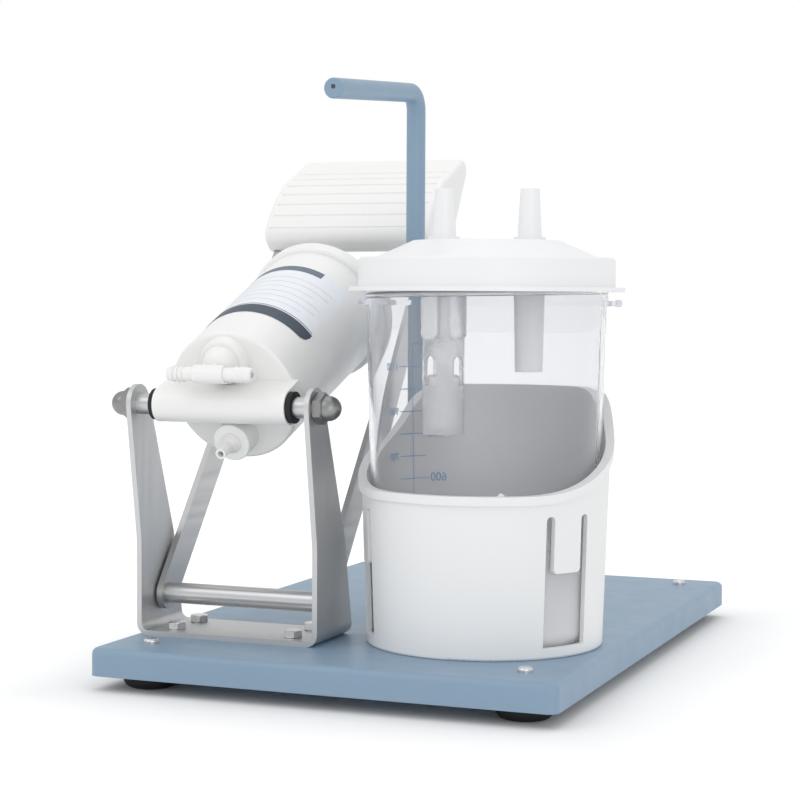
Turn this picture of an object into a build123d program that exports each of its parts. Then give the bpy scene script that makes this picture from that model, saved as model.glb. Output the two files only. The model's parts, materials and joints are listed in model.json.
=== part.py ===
from build123d import *
from math import asin, atan2, cos, degrees, pi, radians, sin, sqrt, tan
import os

os.makedirs("parts", exist_ok=True)

# Foot-operated vacuum aspirator: a treadle pump and a collection jar on one base plate.
# Millimetres. X is to the right, Y to the back, Z up. The origin is on the floor, under the
# middle of the overall width and depth. Rest pose: treadle up, jar seated, lid screwed down.

# Clearances
press_gap = 0.05
running_gap = 0.08
side_gap = 0.3
seat_gap = 0.2

# Base plate, a folded sheet pan on four rubber feet
plate_width = 225.0
plate_depth = 330.0
plate_height = 13.0
plate_sheet = 2.0
plate_corner = 5.0
plate_edge = 3.0
foot_diameter = 26.0
foot_top_diameter = 23.0
foot_drop = 7.0
foot_edge = 4.5
foot_recess_diameter = 11.0
foot_recess_depth = 8.0
foot_inset_x = 21.0
foot_inset_y = 22.0
foot_screw_diameter = 4.0
foot_screw_head = 7.0
foot_screw_head_height = 2.4
foot_nut_flats = 7.0
foot_nut_height = 3.2

# Pivot bracket, one steel strip bent to a U, with the pump axle near its top
pump_inset = 50.5
bracket_width = 94.0
bracket_strip = 2.5
bracket_bend = 6.0
bracket_setback = 40.0
bracket_foot_depth = 42.5
bracket_waist_height = 46.0
bracket_waist_depth = 33.0
bracket_eye_radius = 9.3
bracket_blend = 40.0
axle_setback = 39.0
axle_height = 111.0
axle_diameter = 8.0
spacer_diameter = 10.0
cap_nut_flats = 13.0
cap_nut_height = 12.0
bolt_pitch_x = 61.0
bolt_pitch_y = 23.0
bolt_diameter = 5.0
bolt_flats = 8.0
bolt_head_height = 3.5
bolt_nut_height = 4.0
bolt_washer_diameter = 10.0
bolt_washer_thickness = 1.0

# Treadle: two flat bars on a cross tube at the lower pivot, and a moulded pedal
pivot_setback = 61.0
pivot_height = 18.0
pivot_pin_diameter = 6.0
cross_tube_diameter = 10.0
lever_angle = 51.1
lever_gauge = 87.0
lever_thickness = 3.0
lever_width = 16.0
lever_length = 247.0
rod_pin_reach = 192.7
rod_pin_diameter = 8.0
rod_pin_end_diameter = 5.0
rod_nut_flats = 8.0
rod_nut_height = 8.0
rod_spacer_diameter = 12.0
pedal_pin_reach = 236.5
pedal_pin_diameter = 8.0
pedal_pin_bore = 5.0
pedal_pin_recess = 1.6
pedal_width = 94.6
pedal_wall = 3.0
pedal_nose_radius = 7.0
pedal_back_radius = 6.0
pedal_edge_radius = 2.5
tread_blend = 20.0
groove_count = 7
groove_pitch = 8.15
groove_start = 5.0
groove_radius = 0.65
groove_margin = 3.6
socket_wall = 2.5

# Pedal outline seen from the right, measured from the pedal pin: Y back, Z up
tread_front = (-30.0, -7.5)
tread_middle = (-18.6, 9.0)
tread_bend = (-2.6, 22.5)
tread_back = (43.6, 43.0)
skirt_back = (10.9, -9.5)
skirt_front = (-21.6, -16.5)

# Pump cylinder, measured along its own axis from the axle towards the rod
cap_face = 11.0
cap_rim = 3.5
cap_edge = 1.6
cap_wall = 4.5
cap_spigot_length = 8.0
tube_diameter = 16.5
tube_length = 68.0
bush_diameter = 12.0
bush_flange_diameter = 14.8
bush_flange = 2.5
bush_length = 12.0
barrel_bore = 57.0
barrel_front_diameter = 64.6
barrel_rear_diameter = 68.0
barrel_end = 113.0
rear_cap_diameter = 72.8
rear_cap_length = 9.7
rear_cap_edge = 2.5
rear_cap_wall = 4.5
rear_boss_diameter = 24.0
rear_boss_length = 5.0
guide_bush_diameter = 14.0
guide_boss_inset = 12.0
guide_bush_flange = 1.5
spigot_wall = 3.4
vent_diameter = 4.0
vent_count = 4
seal_section = 2.2

# Valve housings and hose connectors on the front cap
inlet_height = 19.5
inlet_base_diameter = 22.4
inlet_base_length = 6.0
inlet_dome_diameter = 17.4
inlet_dome_length = 7.5
outlet_height = 19.3
outlet_diameter = 18.6
outlet_length = 11.0
valve_hole_diameter = 2.0
valve_hole_circle_diameter = 7.0
flap_diameter = 10.4
flap_thickness = 1.4
flap_stem_diameter = 2.4
tee_reach = 19.0
tee_length = 43.0
tee_middle_length = 15.4
tee_middle_diameter = 8.8
hose_core_diameter = 6.6
hose_barb_diameter = 7.7
barb_count = 3
barb_pitch = 2.4
hose_bore = 3.0
tee_stub_diameter = 6.0
nozzle_cone_diameter = 10.0
nozzle_cone_length = 4.0
nozzle_diameter = 5.2
nozzle_length = 12.0

# Piston, rod and return spring, at the rest position
piston_start = 22.0
piston_nut_height = 6.0
piston_nut_flats = 13.0
piston_end_diameter = 8.0
piston_diameter = 52.0
piston_thickness = 7.0
cup_base = 3.0
cup_lip = 5.0
cup_gap = 0.25
rod_diameter = 10.0
rod_eye_thickness = 14.0
rod_eye_margin = 5.0
rod_eye_play_along = 0.6
rod_eye_play_across = 2.5
spring_wire = 2.4
spring_diameter = 36.0
spring_turns = 6.5

# Jar holder, a scooped cup with three sprung windows
jar_inset = 162.0
jar_setback = 89.5
holder_base_gap = 0.8
holder_mouth_gap = 1.9
holder_wall = 2.4
holder_floor = 3.0
holder_front_height = 74.0
holder_back_height = 119.0
scoop_rise = 13.0
scoop_shoulder_rise = 26.5
scoop_shoulder_share = 0.4
scoop_low_share = 0.8
scoop_high_share = 0.86
rim_bead = 1.7
rim_height = 4.0
window_bearing = 60.0
window_width = 25.0
window_bottom = 5.0
window_top = 64.5
tongue_width = 16.0
tongue_drop = 26.0
tongue_corner = 2.0
holder_screw_circle_diameter = 66.0
holder_screw_diameter = 4.0
holder_screw_head = 8.0
screw_end = 1.0

# Jar, lid, float trap and inlet tube
jar_wall = 2.0
jar_floor = 2.5
jar_base_diameter = 104.6
jar_top_diameter = 112.4
jar_base_radius = 7.0
jar_ring_height = 158.3
jar_ring_reach = 4.0
jar_ring_thickness = 2.4
jar_neck_step = 0.6
jar_neck_height = 18.7
seal_thickness = 1.5
lid_wall = 2.0
lid_thread_room = 2.3
lid_skirt_length = 13.7
lid_brim_reach = 4.5
lid_brim_thickness = 2.0
lid_shoulder_width = 7.6
lid_crown_diameter = 69.0
lid_cone_height = 8.0
lid_corner = 1.5
port_spacing = 40.0
port_bearing = 19.0
port_collar_diameter = 15.0
port_collar_height = 1.8
port_root_diameter = 11.3
port_tip_diameter = 8.9
port_length = 22.5
port_bore = 5.5
port_spigot_diameter = 10.0
port_spigot_length = 10.0
cage_head_diameter = 21.5
cage_head_length = 42.0
cage_diameter = 19.7
cage_length = 46.5
float_seat_drop = 2.0
float_seat_room = 1.0
float_seat_cone = 4.0
float_edge = 1.0
cage_bore = 16.4
cage_window_width = 7.0
cage_window_height = 10.5
cage_window_drop = 12.8
cage_cap_thickness = 1.6
drop_tube_root_diameter = 15.4
drop_tube_tip_diameter = 13.0
drop_tube_length = 59.0
float_diameter = 15.2
float_length = 26.0
float_nose_diameter = 7.0
float_nose_length = 5.0

# Carrying handle, one bent rod
handle_inset = 105.0
handle_setback = 145.0
handle_diameter = 9.5
handle_height = 264.5
handle_reach = 105.5
handle_droop = 4.35
handle_bend = 8.5
handle_stud_diameter = 8.0
handle_nut_flats = 13.0
handle_nut_height = 6.5
handle_stud_end = 1.5

# Places worked out from the sizes above
left_reach = pump_inset - bracket_width / 2 - cap_nut_height
jar_neck_diameter = jar_top_diameter + 2 * jar_neck_step
jar_ring_diameter = jar_neck_diameter + 2 * jar_ring_reach
lid_skirt_diameter = jar_neck_diameter + 2 * lid_thread_room + lid_wall
lid_brim_diameter = lid_skirt_diameter + 2 * lid_brim_reach
lid_cone_diameter = lid_skirt_diameter - 2 * lid_shoulder_width
right_reach = max(plate_width, jar_inset + lid_brim_diameter / 2)
plate_left = -(left_reach + right_reach) / 2
plate_x = plate_left + plate_width / 2
plate_front = -plate_depth / 2
plate_top = foot_drop + plate_height
sheet_underside = plate_top - plate_sheet

pump_x = plate_left + pump_inset
bracket_front = plate_front + bracket_setback
bracket_back = bracket_front + bracket_foot_depth
axle = (plate_front + axle_setback, plate_top + axle_height)
pivot = (plate_front + pivot_setback, plate_top + pivot_height)
arm_inside = bracket_width / 2 - bracket_strip
lever_inside = lever_gauge / 2 - lever_thickness

lever_run = (cos(radians(lever_angle)), sin(radians(lever_angle)))
rod_pin = (pivot[0] + rod_pin_reach * lever_run[0], pivot[1] + rod_pin_reach * lever_run[1])
pedal_pin_spot = (pivot[0] + pedal_pin_reach * lever_run[0], pivot[1] + pedal_pin_reach * lever_run[1])
lever_tip = (pivot[0] + lever_length * lever_run[0], pivot[1] + lever_length * lever_run[1])
lever_middle = ((pivot[0] + lever_tip[0]) / 2, (pivot[1] + lever_tip[1]) / 2)

# The pump points from the axle at the rod pin
pump_tilt = atan2(rod_pin[1] - axle[1], rod_pin[0] - axle[0])
rod_pin_station = sqrt((rod_pin[0] - axle[0]) ** 2 + (rod_pin[1] - axle[1]) ** 2)
along = Vector(0, cos(pump_tilt), sin(pump_tilt))
across = Vector(0, -sin(pump_tilt), cos(pump_tilt))
axle_point = Vector(pump_x, axle[0], axle[1])
pump_axis = Axis(axle_point, along)
pump_side = Plane(origin=axle_point, x_dir=along, z_dir=(1, 0, 0))

jar_x = plate_left + jar_inset
jar_y = plate_front + jar_setback
jar_axis = Axis((jar_x, jar_y, 0), (0, 0, 1))
jar_section = Plane(origin=(jar_x, jar_y, 0), x_dir=(1, 0, 0), z_dir=(0, -1, 0))
jar_base = plate_top + holder_floor + seat_gap
jar_ring = plate_top + jar_ring_height
jar_mouth = jar_ring + jar_neck_height
lid_underside = jar_mouth + seal_thickness
lid_shoulder = lid_underside + lid_wall
lid_crown = lid_shoulder + lid_cone_height
crown_underside = lid_crown - lid_wall

# The holder's cup follows the jar's draft, closer at its base than at its mouth
holder_top = plate_top + holder_back_height
holder_front = plate_top + holder_front_height
jar_draft = (jar_top_diameter - jar_base_diameter) / 2 / (jar_ring - jar_base)
jar_radius_at_holder_top = jar_base_diameter / 2 + jar_draft * (holder_top - jar_base)
holder_bottom_radius = jar_base_diameter / 2 + holder_base_gap + holder_wall
holder_top_radius = jar_radius_at_holder_top + holder_mouth_gap + holder_wall


def cross_plane(station, height=0.0):
    """Plane square to the pump axis, facing the front: local X is right and local Y is up."""
    return Plane(origin=axle_point + along * station + across * height, x_dir=(1, 0, 0), z_dir=-along)


def side_plane(x):
    """Plane across X at pump_x + x, whose local axes are the part's Y and Z."""
    return Plane.YZ.offset(pump_x + x)


def port_place(side):
    """Foot of one hose port's axis on the floor: side -1 is the left port, 1 the right one."""
    reach = side * port_spacing / 2
    bearing = radians(port_bearing)
    return (jar_x + reach * cos(bearing), jar_y + reach * sin(bearing))


def port_section(side):
    """Upright plane through a hose port's axis, with local X as radius and local Y as height."""
    place = port_place(side)
    return Plane(origin=(place[0], place[1], 0), x_dir=(1, 0, 0), z_dir=(0, -1, 0))


def port_axis(side):
    place = port_place(side)
    return Axis((place[0], place[1], 0), (0, 0, 1))


def hex_prism(flats, height, bore):
    """Hexagon nut on z = 0 with both its faces crowned, and a plain bore."""
    corner = flats / sqrt(3)
    crown = (corner - flats / 2) * tan(radians(30)) * 1.3
    with BuildPart() as body:
        with BuildSketch():
            RegularPolygon(flats / 2, 6, major_radius=False)
        extrude(amount=height)
        with BuildSketch(Plane.XZ):
            Polygon(
                (0, 0), (flats * 0.48, 0), (corner, crown), (corner, height - crown),
                (flats * 0.48, height), (0, height), align=None,
            )
        revolve(axis=Axis.Z, mode=Mode.INTERSECT)
        if bore:
            Cylinder(bore / 2, height, align=(Align.CENTER, Align.CENTER, Align.MIN), mode=Mode.SUBTRACT)
    return body.part


def cap_nut(flats, height, bore):
    """Domed nut on z = 0: a hexagon, a short neck and a half ball, with a blind bore."""
    dome = flats * 0.45
    hexagon_height = height - dome - 0.1 * flats
    hexagon = hex_prism(flats, hexagon_height, 0)
    with BuildPart() as body:
        add(hexagon)
        with BuildSketch(Plane.XZ):
            with BuildLine():
                Polyline((0, height), (0, 0), (dome, 0), (dome, height - dome))
                CenterArc((0, height - dome), dome, 0, 90)
            make_face()
        revolve(axis=Axis.Z)
        Cylinder(
            bore / 2, height - flats * 0.25,
            align=(Align.CENTER, Align.CENTER, Align.MIN), mode=Mode.SUBTRACT,
        )
    return body.part


def outward(x, spot, side):
    """Plane whose normal points outwards along X, at x either side of the pump's middle."""
    return Plane(origin=(pump_x + side * x, spot[0], spot[1]), x_dir=(0, 0, 1), z_dir=(side, 0, 0))


# Base plate
foot_places = GridLocations(plate_width - 2 * foot_inset_x, plate_depth - 2 * foot_inset_y, 2, 2)
bolt_places = GridLocations(bolt_pitch_x, bolt_pitch_y, 2, 2)
bolt_centre = (pump_x, (bracket_front + bracket_back) / 2)
holder_screw_places = PolarLocations(holder_screw_circle_diameter / 2, 3, 90)
handle_x = plate_left + handle_inset
handle_y = plate_front + handle_setback

with BuildPart() as base_plate:
    with BuildSketch(Plane.XY.offset(foot_drop)):
        with Locations((plate_x, 0)):
            RectangleRounded(plate_width, plate_depth, plate_corner)
    extrude(amount=plate_height)
    fillet(base_plate.edges().group_by(Axis.Z)[-1], plate_edge)
    with BuildSketch(Plane.XY.offset(foot_drop)):
        with Locations((plate_x, 0)):
            RectangleRounded(
                plate_width - 2 * plate_sheet, plate_depth - 2 * plate_sheet, plate_corner - plate_sheet
            )
    extrude(amount=plate_height - plate_sheet, mode=Mode.SUBTRACT)
    with Locations((plate_x, 0, plate_top)):
        with Locations(foot_places.locations):
            Hole(foot_screw_diameter / 2 + press_gap)
    with Locations((bolt_centre[0], bolt_centre[1], plate_top)):
        with Locations(bolt_places.locations):
            Hole(bolt_diameter / 2 + press_gap)
    with Locations((jar_x, jar_y, plate_top)):
        with Locations(holder_screw_places.locations):
            Hole(holder_screw_diameter / 2 + press_gap)
    with Locations((handle_x, handle_y, plate_top)):
        Hole(handle_stud_diameter / 2 + press_gap)
base_plate.part.label = "base_plate"
export_step(base_plate.part, "parts/base_plate.step")

# Rubber feet, each with a recess underneath for its nut
with BuildPart() as foot_shape:
    with BuildSketch(Plane.XZ):
        Polygon(
            (foot_screw_diameter / 2 + press_gap, sheet_underside),
            (foot_top_diameter / 2, sheet_underside),
            (foot_diameter / 2, foot_drop),
            (foot_diameter / 2, 0),
            (foot_recess_diameter / 2, 0),
            (foot_recess_diameter / 2, foot_recess_depth),
            (foot_screw_diameter / 2 + press_gap, foot_recess_depth),
            align=None,
        )
    revolve(axis=Axis.Z)
    foot_rings = foot_shape.edges().filter_by(GeomType.CIRCLE)
    fillet(foot_rings.sort_by_distance((foot_diameter / 2, 0, 0))[0], foot_edge)

with BuildPart() as rubber_feet:
    with Locations((plate_x, 0)):
        with Locations(foot_places.locations):
            add(foot_shape.part)
rubber_feet.part.label = "rubber_feet"
export_step(rubber_feet.part, "parts/rubber_feet.step")

# Pan-head screws that hold the feet
foot_nut_level = foot_recess_depth - foot_nut_height
with BuildPart() as foot_screws:
    with BuildSketch(Plane.XY.offset(plate_top)):
        with Locations((plate_x, 0)):
            with Locations(foot_places.locations):
                Circle(foot_screw_head / 2)
    extrude(amount=foot_screw_head_height)
    fillet(foot_screws.edges().group_by(Axis.Z)[-1], foot_screw_head_height * 0.55)
    with BuildSketch(Plane.XY.offset(plate_top)):
        with Locations((plate_x, 0)):
            with Locations(foot_places.locations):
                Circle(foot_screw_diameter / 2)
    extrude(amount=-(plate_top - foot_nut_level + screw_end))
foot_screws.part.label = "foot_screws"
export_step(foot_screws.part, "parts/foot_screws.step")

foot_nut_shape = hex_prism(foot_nut_flats, foot_nut_height, foot_screw_diameter + 2 * press_gap)
with BuildPart() as foot_nuts:
    with Locations((plate_x, 0, foot_nut_level)):
        with Locations(foot_places.locations):
            add(foot_nut_shape)
foot_nuts.part.label = "foot_nuts"
export_step(foot_nuts.part, "parts/foot_nuts.step")


# Pivot bracket: a U of strip, trimmed to the outline of its arms seen from the side
def open_channel(width, radius):
    """Rounded foot of the U, drawn upwards from y = 0."""
    with BuildSketch() as outline:
        Rectangle(width, axle_height + 2 * bracket_eye_radius, align=(Align.CENTER, Align.MIN))
        fillet(outline.vertices().group_by(Axis.Y)[0], radius)
    return outline.sketch


channel_outside = open_channel(bracket_width, bracket_bend)
channel_inside = open_channel(bracket_width - 2 * bracket_strip, bracket_bend - bracket_strip)
waist_z = plate_top + bracket_waist_height

with BuildSketch() as arm_outline:
    with BuildLine():
        CenterArc(axle, bracket_eye_radius, 0, 360)
        Line((bracket_front, waist_z), (bracket_front + bracket_waist_depth, waist_z))
    make_hull()
    Polygon(
        (bracket_front, plate_top), (bracket_back, plate_top),
        (bracket_front + bracket_waist_depth, waist_z), (bracket_front, waist_z), align=None,
    )
    fillet(
        [corner for corner in arm_outline.vertices() if abs(corner.Y - waist_z) < 0.1], bracket_blend
    )

with BuildPart() as pivot_bracket:
    with BuildSketch(Plane.XZ.offset(-bracket_back)):
        with Locations((pump_x, plate_top)):
            add(channel_outside)
        with Locations((pump_x, plate_top + bracket_strip)):
            add(channel_inside, mode=Mode.SUBTRACT)
    extrude(amount=bracket_foot_depth + 2 * bracket_eye_radius)
    with BuildSketch(side_plane(0)):
        add(arm_outline.sketch)
    extrude(amount=bracket_width, both=True, mode=Mode.INTERSECT)
    with BuildSketch(side_plane(0)):
        with Locations(axle):
            Circle(axle_diameter / 2 + press_gap)
        with Locations(pivot):
            Circle(pivot_pin_diameter / 2 + press_gap)
    extrude(amount=bracket_width, both=True, mode=Mode.SUBTRACT)
    with Locations((bolt_centre[0], bolt_centre[1], plate_top + bracket_strip)):
        with Locations(bolt_places.locations):
            Hole(bolt_diameter / 2 + press_gap)
pivot_bracket.part.label = "pivot_bracket"
export_step(pivot_bracket.part, "parts/pivot_bracket.step")

# Hex bolts through the strip and the sheet, with washers and nuts underneath
bolt_washer_level = sheet_underside - bolt_washer_thickness
bolt_nut_level = bolt_washer_level - bolt_nut_height
bolt_length = bracket_strip + plate_sheet + bolt_washer_thickness + bolt_nut_height + screw_end
bolt_head_shape = hex_prism(bolt_flats, bolt_head_height, 0)
with BuildPart() as bracket_bolts:
    with Locations((bolt_centre[0], bolt_centre[1], plate_top + bracket_strip)):
        with Locations(bolt_places.locations):
            add(bolt_head_shape)
            Cylinder(bolt_diameter / 2, bolt_length, align=(Align.CENTER, Align.CENTER, Align.MAX))
bracket_bolts.part.label = "bracket_bolts"
export_step(bracket_bolts.part, "parts/bracket_bolts.step")

with BuildPart() as bracket_washers:
    with BuildSketch(Plane.XY.offset(bolt_washer_level)):
        with Locations(bolt_centre):
            with Locations(bolt_places.locations):
                Circle(bolt_washer_diameter / 2)
                Circle(bolt_diameter / 2 + press_gap, mode=Mode.SUBTRACT)
    extrude(amount=bolt_washer_thickness)
bracket_washers.part.label = "bracket_washers"
export_step(bracket_washers.part, "parts/bracket_washers.step")

bolt_nut_shape = hex_prism(bolt_flats, bolt_nut_height, bolt_diameter + 2 * press_gap)
with BuildPart() as bracket_nuts:
    with Locations((bolt_centre[0], bolt_centre[1], bolt_nut_level)):
        with Locations(bolt_places.locations):
            add(bolt_nut_shape)
bracket_nuts.part.label = "bracket_nuts"
export_step(bracket_nuts.part, "parts/bracket_nuts.step")

# Upper axle, its two spacers and its domed nuts
with BuildPart() as upper_axle:
    with BuildSketch(side_plane(0)):
        with Locations(axle):
            Circle(axle_diameter / 2)
    extrude(amount=bracket_width / 2 + cap_nut_height * 0.65, both=True)
    chamfer(upper_axle.edges().filter_by(GeomType.CIRCLE), 0.6)
upper_axle.part.label = "upper_axle"
export_step(upper_axle.part, "parts/upper_axle.step")

spacer_start = tube_length / 2 + bush_flange + side_gap
with BuildPart() as axle_spacers:
    for side in (-1, 1):
        with BuildSketch(outward(spacer_start, axle, side)):
            Circle(spacer_diameter / 2)
            Circle(axle_diameter / 2 + press_gap, mode=Mode.SUBTRACT)
        extrude(amount=arm_inside - spacer_start)
axle_spacers.part.label = "axle_spacers"
export_step(axle_spacers.part, "parts/axle_spacers.step")

axle_nut_shape = cap_nut(cap_nut_flats, cap_nut_height, axle_diameter + 2 * press_gap)
with BuildPart() as axle_nuts:
    for side in (-1, 1):
        with Locations(outward(bracket_width / 2, axle, side).location):
            add(axle_nut_shape)
axle_nuts.part.label = "axle_nuts"
export_step(axle_nuts.part, "parts/axle_nuts.step")

# Lower pivot pin, flush with the bracket's outer faces
with BuildPart() as lower_pivot_pin:
    with BuildSketch(side_plane(0)):
        with Locations(pivot):
            Circle(pivot_pin_diameter / 2)
    extrude(amount=bracket_width / 2, both=True)
lower_pivot_pin.part.label = "lower_pivot_pin"
export_step(lower_pivot_pin.part, "parts/lower_pivot_pin.step")

# Lever arms, flat bars with round ends
lever_arms = {}
for name, side in (("lever_arm_left", -1), ("lever_arm_right", 1)):
    with BuildPart() as lever_arm:
        with BuildSketch(side_plane(side * (lever_inside + lever_thickness / 2))):
            SlotCenterPoint(lever_middle, lever_tip, lever_width)
            with Locations(pivot):
                Circle(pivot_pin_diameter / 2 + running_gap, mode=Mode.SUBTRACT)
            with Locations(rod_pin):
                Circle(rod_pin_end_diameter / 2 + press_gap, mode=Mode.SUBTRACT)
            with Locations(pedal_pin_spot):
                Circle(pedal_pin_diameter / 2 + press_gap, mode=Mode.SUBTRACT)
        extrude(amount=lever_thickness / 2, both=True)
    lever_arm.part.label = name
    export_step(lever_arm.part, f"parts/{name}.step")
    lever_arms[name] = lever_arm.part

# Cross tube that joins the arms round the lower pivot pin
with BuildPart() as lever_cross_tube:
    with BuildSketch(side_plane(0)):
        with Locations(pivot):
            Circle(cross_tube_diameter / 2)
            Circle(pivot_pin_diameter / 2 + running_gap, mode=Mode.SUBTRACT)
    extrude(amount=lever_inside, both=True)
lever_cross_tube.part.label = "lever_cross_tube"
export_step(lever_cross_tube.part, "parts/lever_cross_tube.step")

# Cross pin that draws the piston rod, shouldered between the arms
with BuildPart() as rod_cross_pin:
    with BuildSketch(side_plane(0)):
        with Locations(rod_pin):
            Circle(rod_pin_diameter / 2)
    extrude(amount=lever_inside, both=True)
    with BuildSketch(side_plane(0)):
        with Locations(rod_pin):
            Circle(rod_pin_end_diameter / 2)
    extrude(amount=lever_inside + lever_thickness + rod_nut_height * 0.6, both=True)
rod_cross_pin.part.label = "rod_cross_pin"
export_step(rod_cross_pin.part, "parts/rod_cross_pin.step")

rod_nut_shape = cap_nut(rod_nut_flats, rod_nut_height, rod_pin_end_diameter + 2 * press_gap)
with BuildPart() as rod_pin_nuts:
    for side in (-1, 1):
        with Locations(outward(lever_gauge / 2, rod_pin, side).location):
            add(rod_nut_shape)
rod_pin_nuts.part.label = "rod_pin_nuts"
export_step(rod_pin_nuts.part, "parts/rod_pin_nuts.step")

# Spacer tubes that keep the rod's eye in the middle of its pin
rod_spacer_start = rod_eye_thickness / 2 + side_gap
with BuildPart() as rod_pin_spacers:
    for side in (-1, 1):
        with BuildSketch(outward(rod_spacer_start, rod_pin, side)):
            Circle(rod_spacer_diameter / 2)
            Circle(rod_pin_diameter / 2 + press_gap, mode=Mode.SUBTRACT)
        extrude(amount=lever_inside - rod_spacer_start)
rod_pin_spacers.part.label = "rod_pin_spacers"
export_step(rod_pin_spacers.part, "parts/rod_pin_spacers.step")


# Pedal: a moulded shell, open underneath, with a socket round the end of each lever arm
def pedal_point(point):
    return (pedal_pin_spot[0] + point[0], pedal_pin_spot[1] + point[1])


with BuildSketch() as pedal_outline:
    with BuildLine():
        tread_curve = ThreePointArc(
            pedal_point(tread_front), pedal_point(tread_middle), pedal_point(tread_bend)
        )
        tread_flat = Line(pedal_point(tread_bend), pedal_point(tread_back))
        Polyline(
            pedal_point(tread_back), pedal_point(skirt_back),
            pedal_point(skirt_front), pedal_point(tread_front),
        )
    make_face()
    fillet(pedal_outline.vertices().sort_by(Axis.Y)[-1], pedal_back_radius)
    fillet(pedal_outline.vertices().sort_by_distance(pedal_point(tread_bend))[0], tread_blend)
    fillet(pedal_outline.vertices().sort_by_distance(pedal_point(tread_front))[0], pedal_nose_radius)
    fillet(pedal_outline.vertices().sort_by_distance(pedal_point(skirt_front))[0], pedal_nose_radius)

skirt_run = Vector(skirt_back[0] - skirt_front[0], skirt_back[1] - skirt_front[1]).normalized()
skirt_down = Vector(skirt_run.Y, -skirt_run.X)
mouth_front = Vector(*pedal_point(skirt_front)) + skirt_run * pedal_nose_radius
mouth_back = Vector(*pedal_point(skirt_back)) - skirt_run * pedal_wall * 1.7
mouth_rise = skirt_down * (-1.5 * pedal_wall)
mouth_drop = skirt_down * pedal_wall
socket_outside = pedal_width / 2 - pedal_wall / 2
socket_inside = lever_inside - side_gap - socket_wall
slot_outside = lever_gauge / 2 + side_gap
slot_inside = lever_inside - side_gap

with BuildPart() as pedal_shell:
    with BuildSketch(side_plane(0)):
        add(pedal_outline.sketch)
    extrude(amount=pedal_width / 2, both=True)
    fillet(pedal_shell.faces().filter_by(Axis.X).edges(), pedal_edge_radius)
    with BuildSketch(side_plane(0)):
        add(pedal_outline.sketch)
        offset(amount=-pedal_wall, mode=Mode.REPLACE)
        Polygon(
            mouth_front + mouth_rise, mouth_back + mouth_rise,
            mouth_back + mouth_drop, mouth_front + mouth_drop, align=None,
        )
    extrude(amount=pedal_width / 2 - pedal_wall, both=True, mode=Mode.SUBTRACT)
    for side in (-1, 1):
        with BuildSketch(side_plane(side * (socket_outside + socket_inside) / 2)):
            add(pedal_outline.sketch)
            offset(amount=-pedal_wall / 2, mode=Mode.REPLACE)
            with Locations(pedal_pin_spot):
                Rectangle(
                    pedal_width, lever_width + 2 * (side_gap + socket_wall),
                    rotation=lever_angle, mode=Mode.INTERSECT,
                )
        extrude(amount=(socket_outside - socket_inside) / 2, both=True)
        with BuildSketch(side_plane(side * (slot_outside + slot_inside) / 2)):
            SlotCenterPoint(lever_middle, lever_tip, lever_width + 2 * side_gap)
        extrude(amount=(slot_outside - slot_inside) / 2, both=True, mode=Mode.SUBTRACT)
    with BuildSketch(side_plane(0)):
        with Locations(pedal_pin_spot):
            Circle(pedal_pin_diameter / 2 + press_gap)
    extrude(amount=pedal_width, both=True, mode=Mode.SUBTRACT)
    for index in range(groove_count):
        reach = groove_start + index * groove_pitch
        if reach < tread_curve.length:
            spot = tread_curve.position_at(reach, position_mode=PositionMode.LENGTH)
        else:
            spot = tread_flat.position_at(reach - tread_curve.length, position_mode=PositionMode.LENGTH)
        with BuildSketch(side_plane(0)):
            with Locations((spot.X, spot.Y)):
                Circle(groove_radius)
        extrude(amount=pedal_width / 2 - groove_margin, both=True, mode=Mode.SUBTRACT)
pedal_shell.part.label = "pedal_shell"
export_step(pedal_shell.part, "parts/pedal_shell.step")

# Hollow pin that locks the pedal on the arms
with BuildPart() as pedal_pin:
    with BuildSketch(side_plane(0)):
        with Locations(pedal_pin_spot):
            Circle(pedal_pin_diameter / 2)
            Circle(pedal_pin_bore / 2, mode=Mode.SUBTRACT)
    extrude(amount=pedal_width / 2 - pedal_pin_recess, both=True)
pedal_pin.part.label = "pedal_pin"
export_step(pedal_pin.part, "parts/pedal_pin.step")

# Pump barrel, a drafted tube with a straight bore
barrel_start = cap_face + cap_rim
with BuildPart() as pump_barrel:
    with BuildSketch(pump_side):
        Polygon(
            (barrel_start, barrel_bore / 2), (barrel_start, barrel_front_diameter / 2),
            (barrel_end, barrel_rear_diameter / 2), (barrel_end, barrel_bore / 2), align=None,
        )
    revolve(axis=pump_axis)
pump_barrel.part.label = "pump_barrel"
export_step(pump_barrel.part, "parts/pump_barrel.step")

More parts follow.
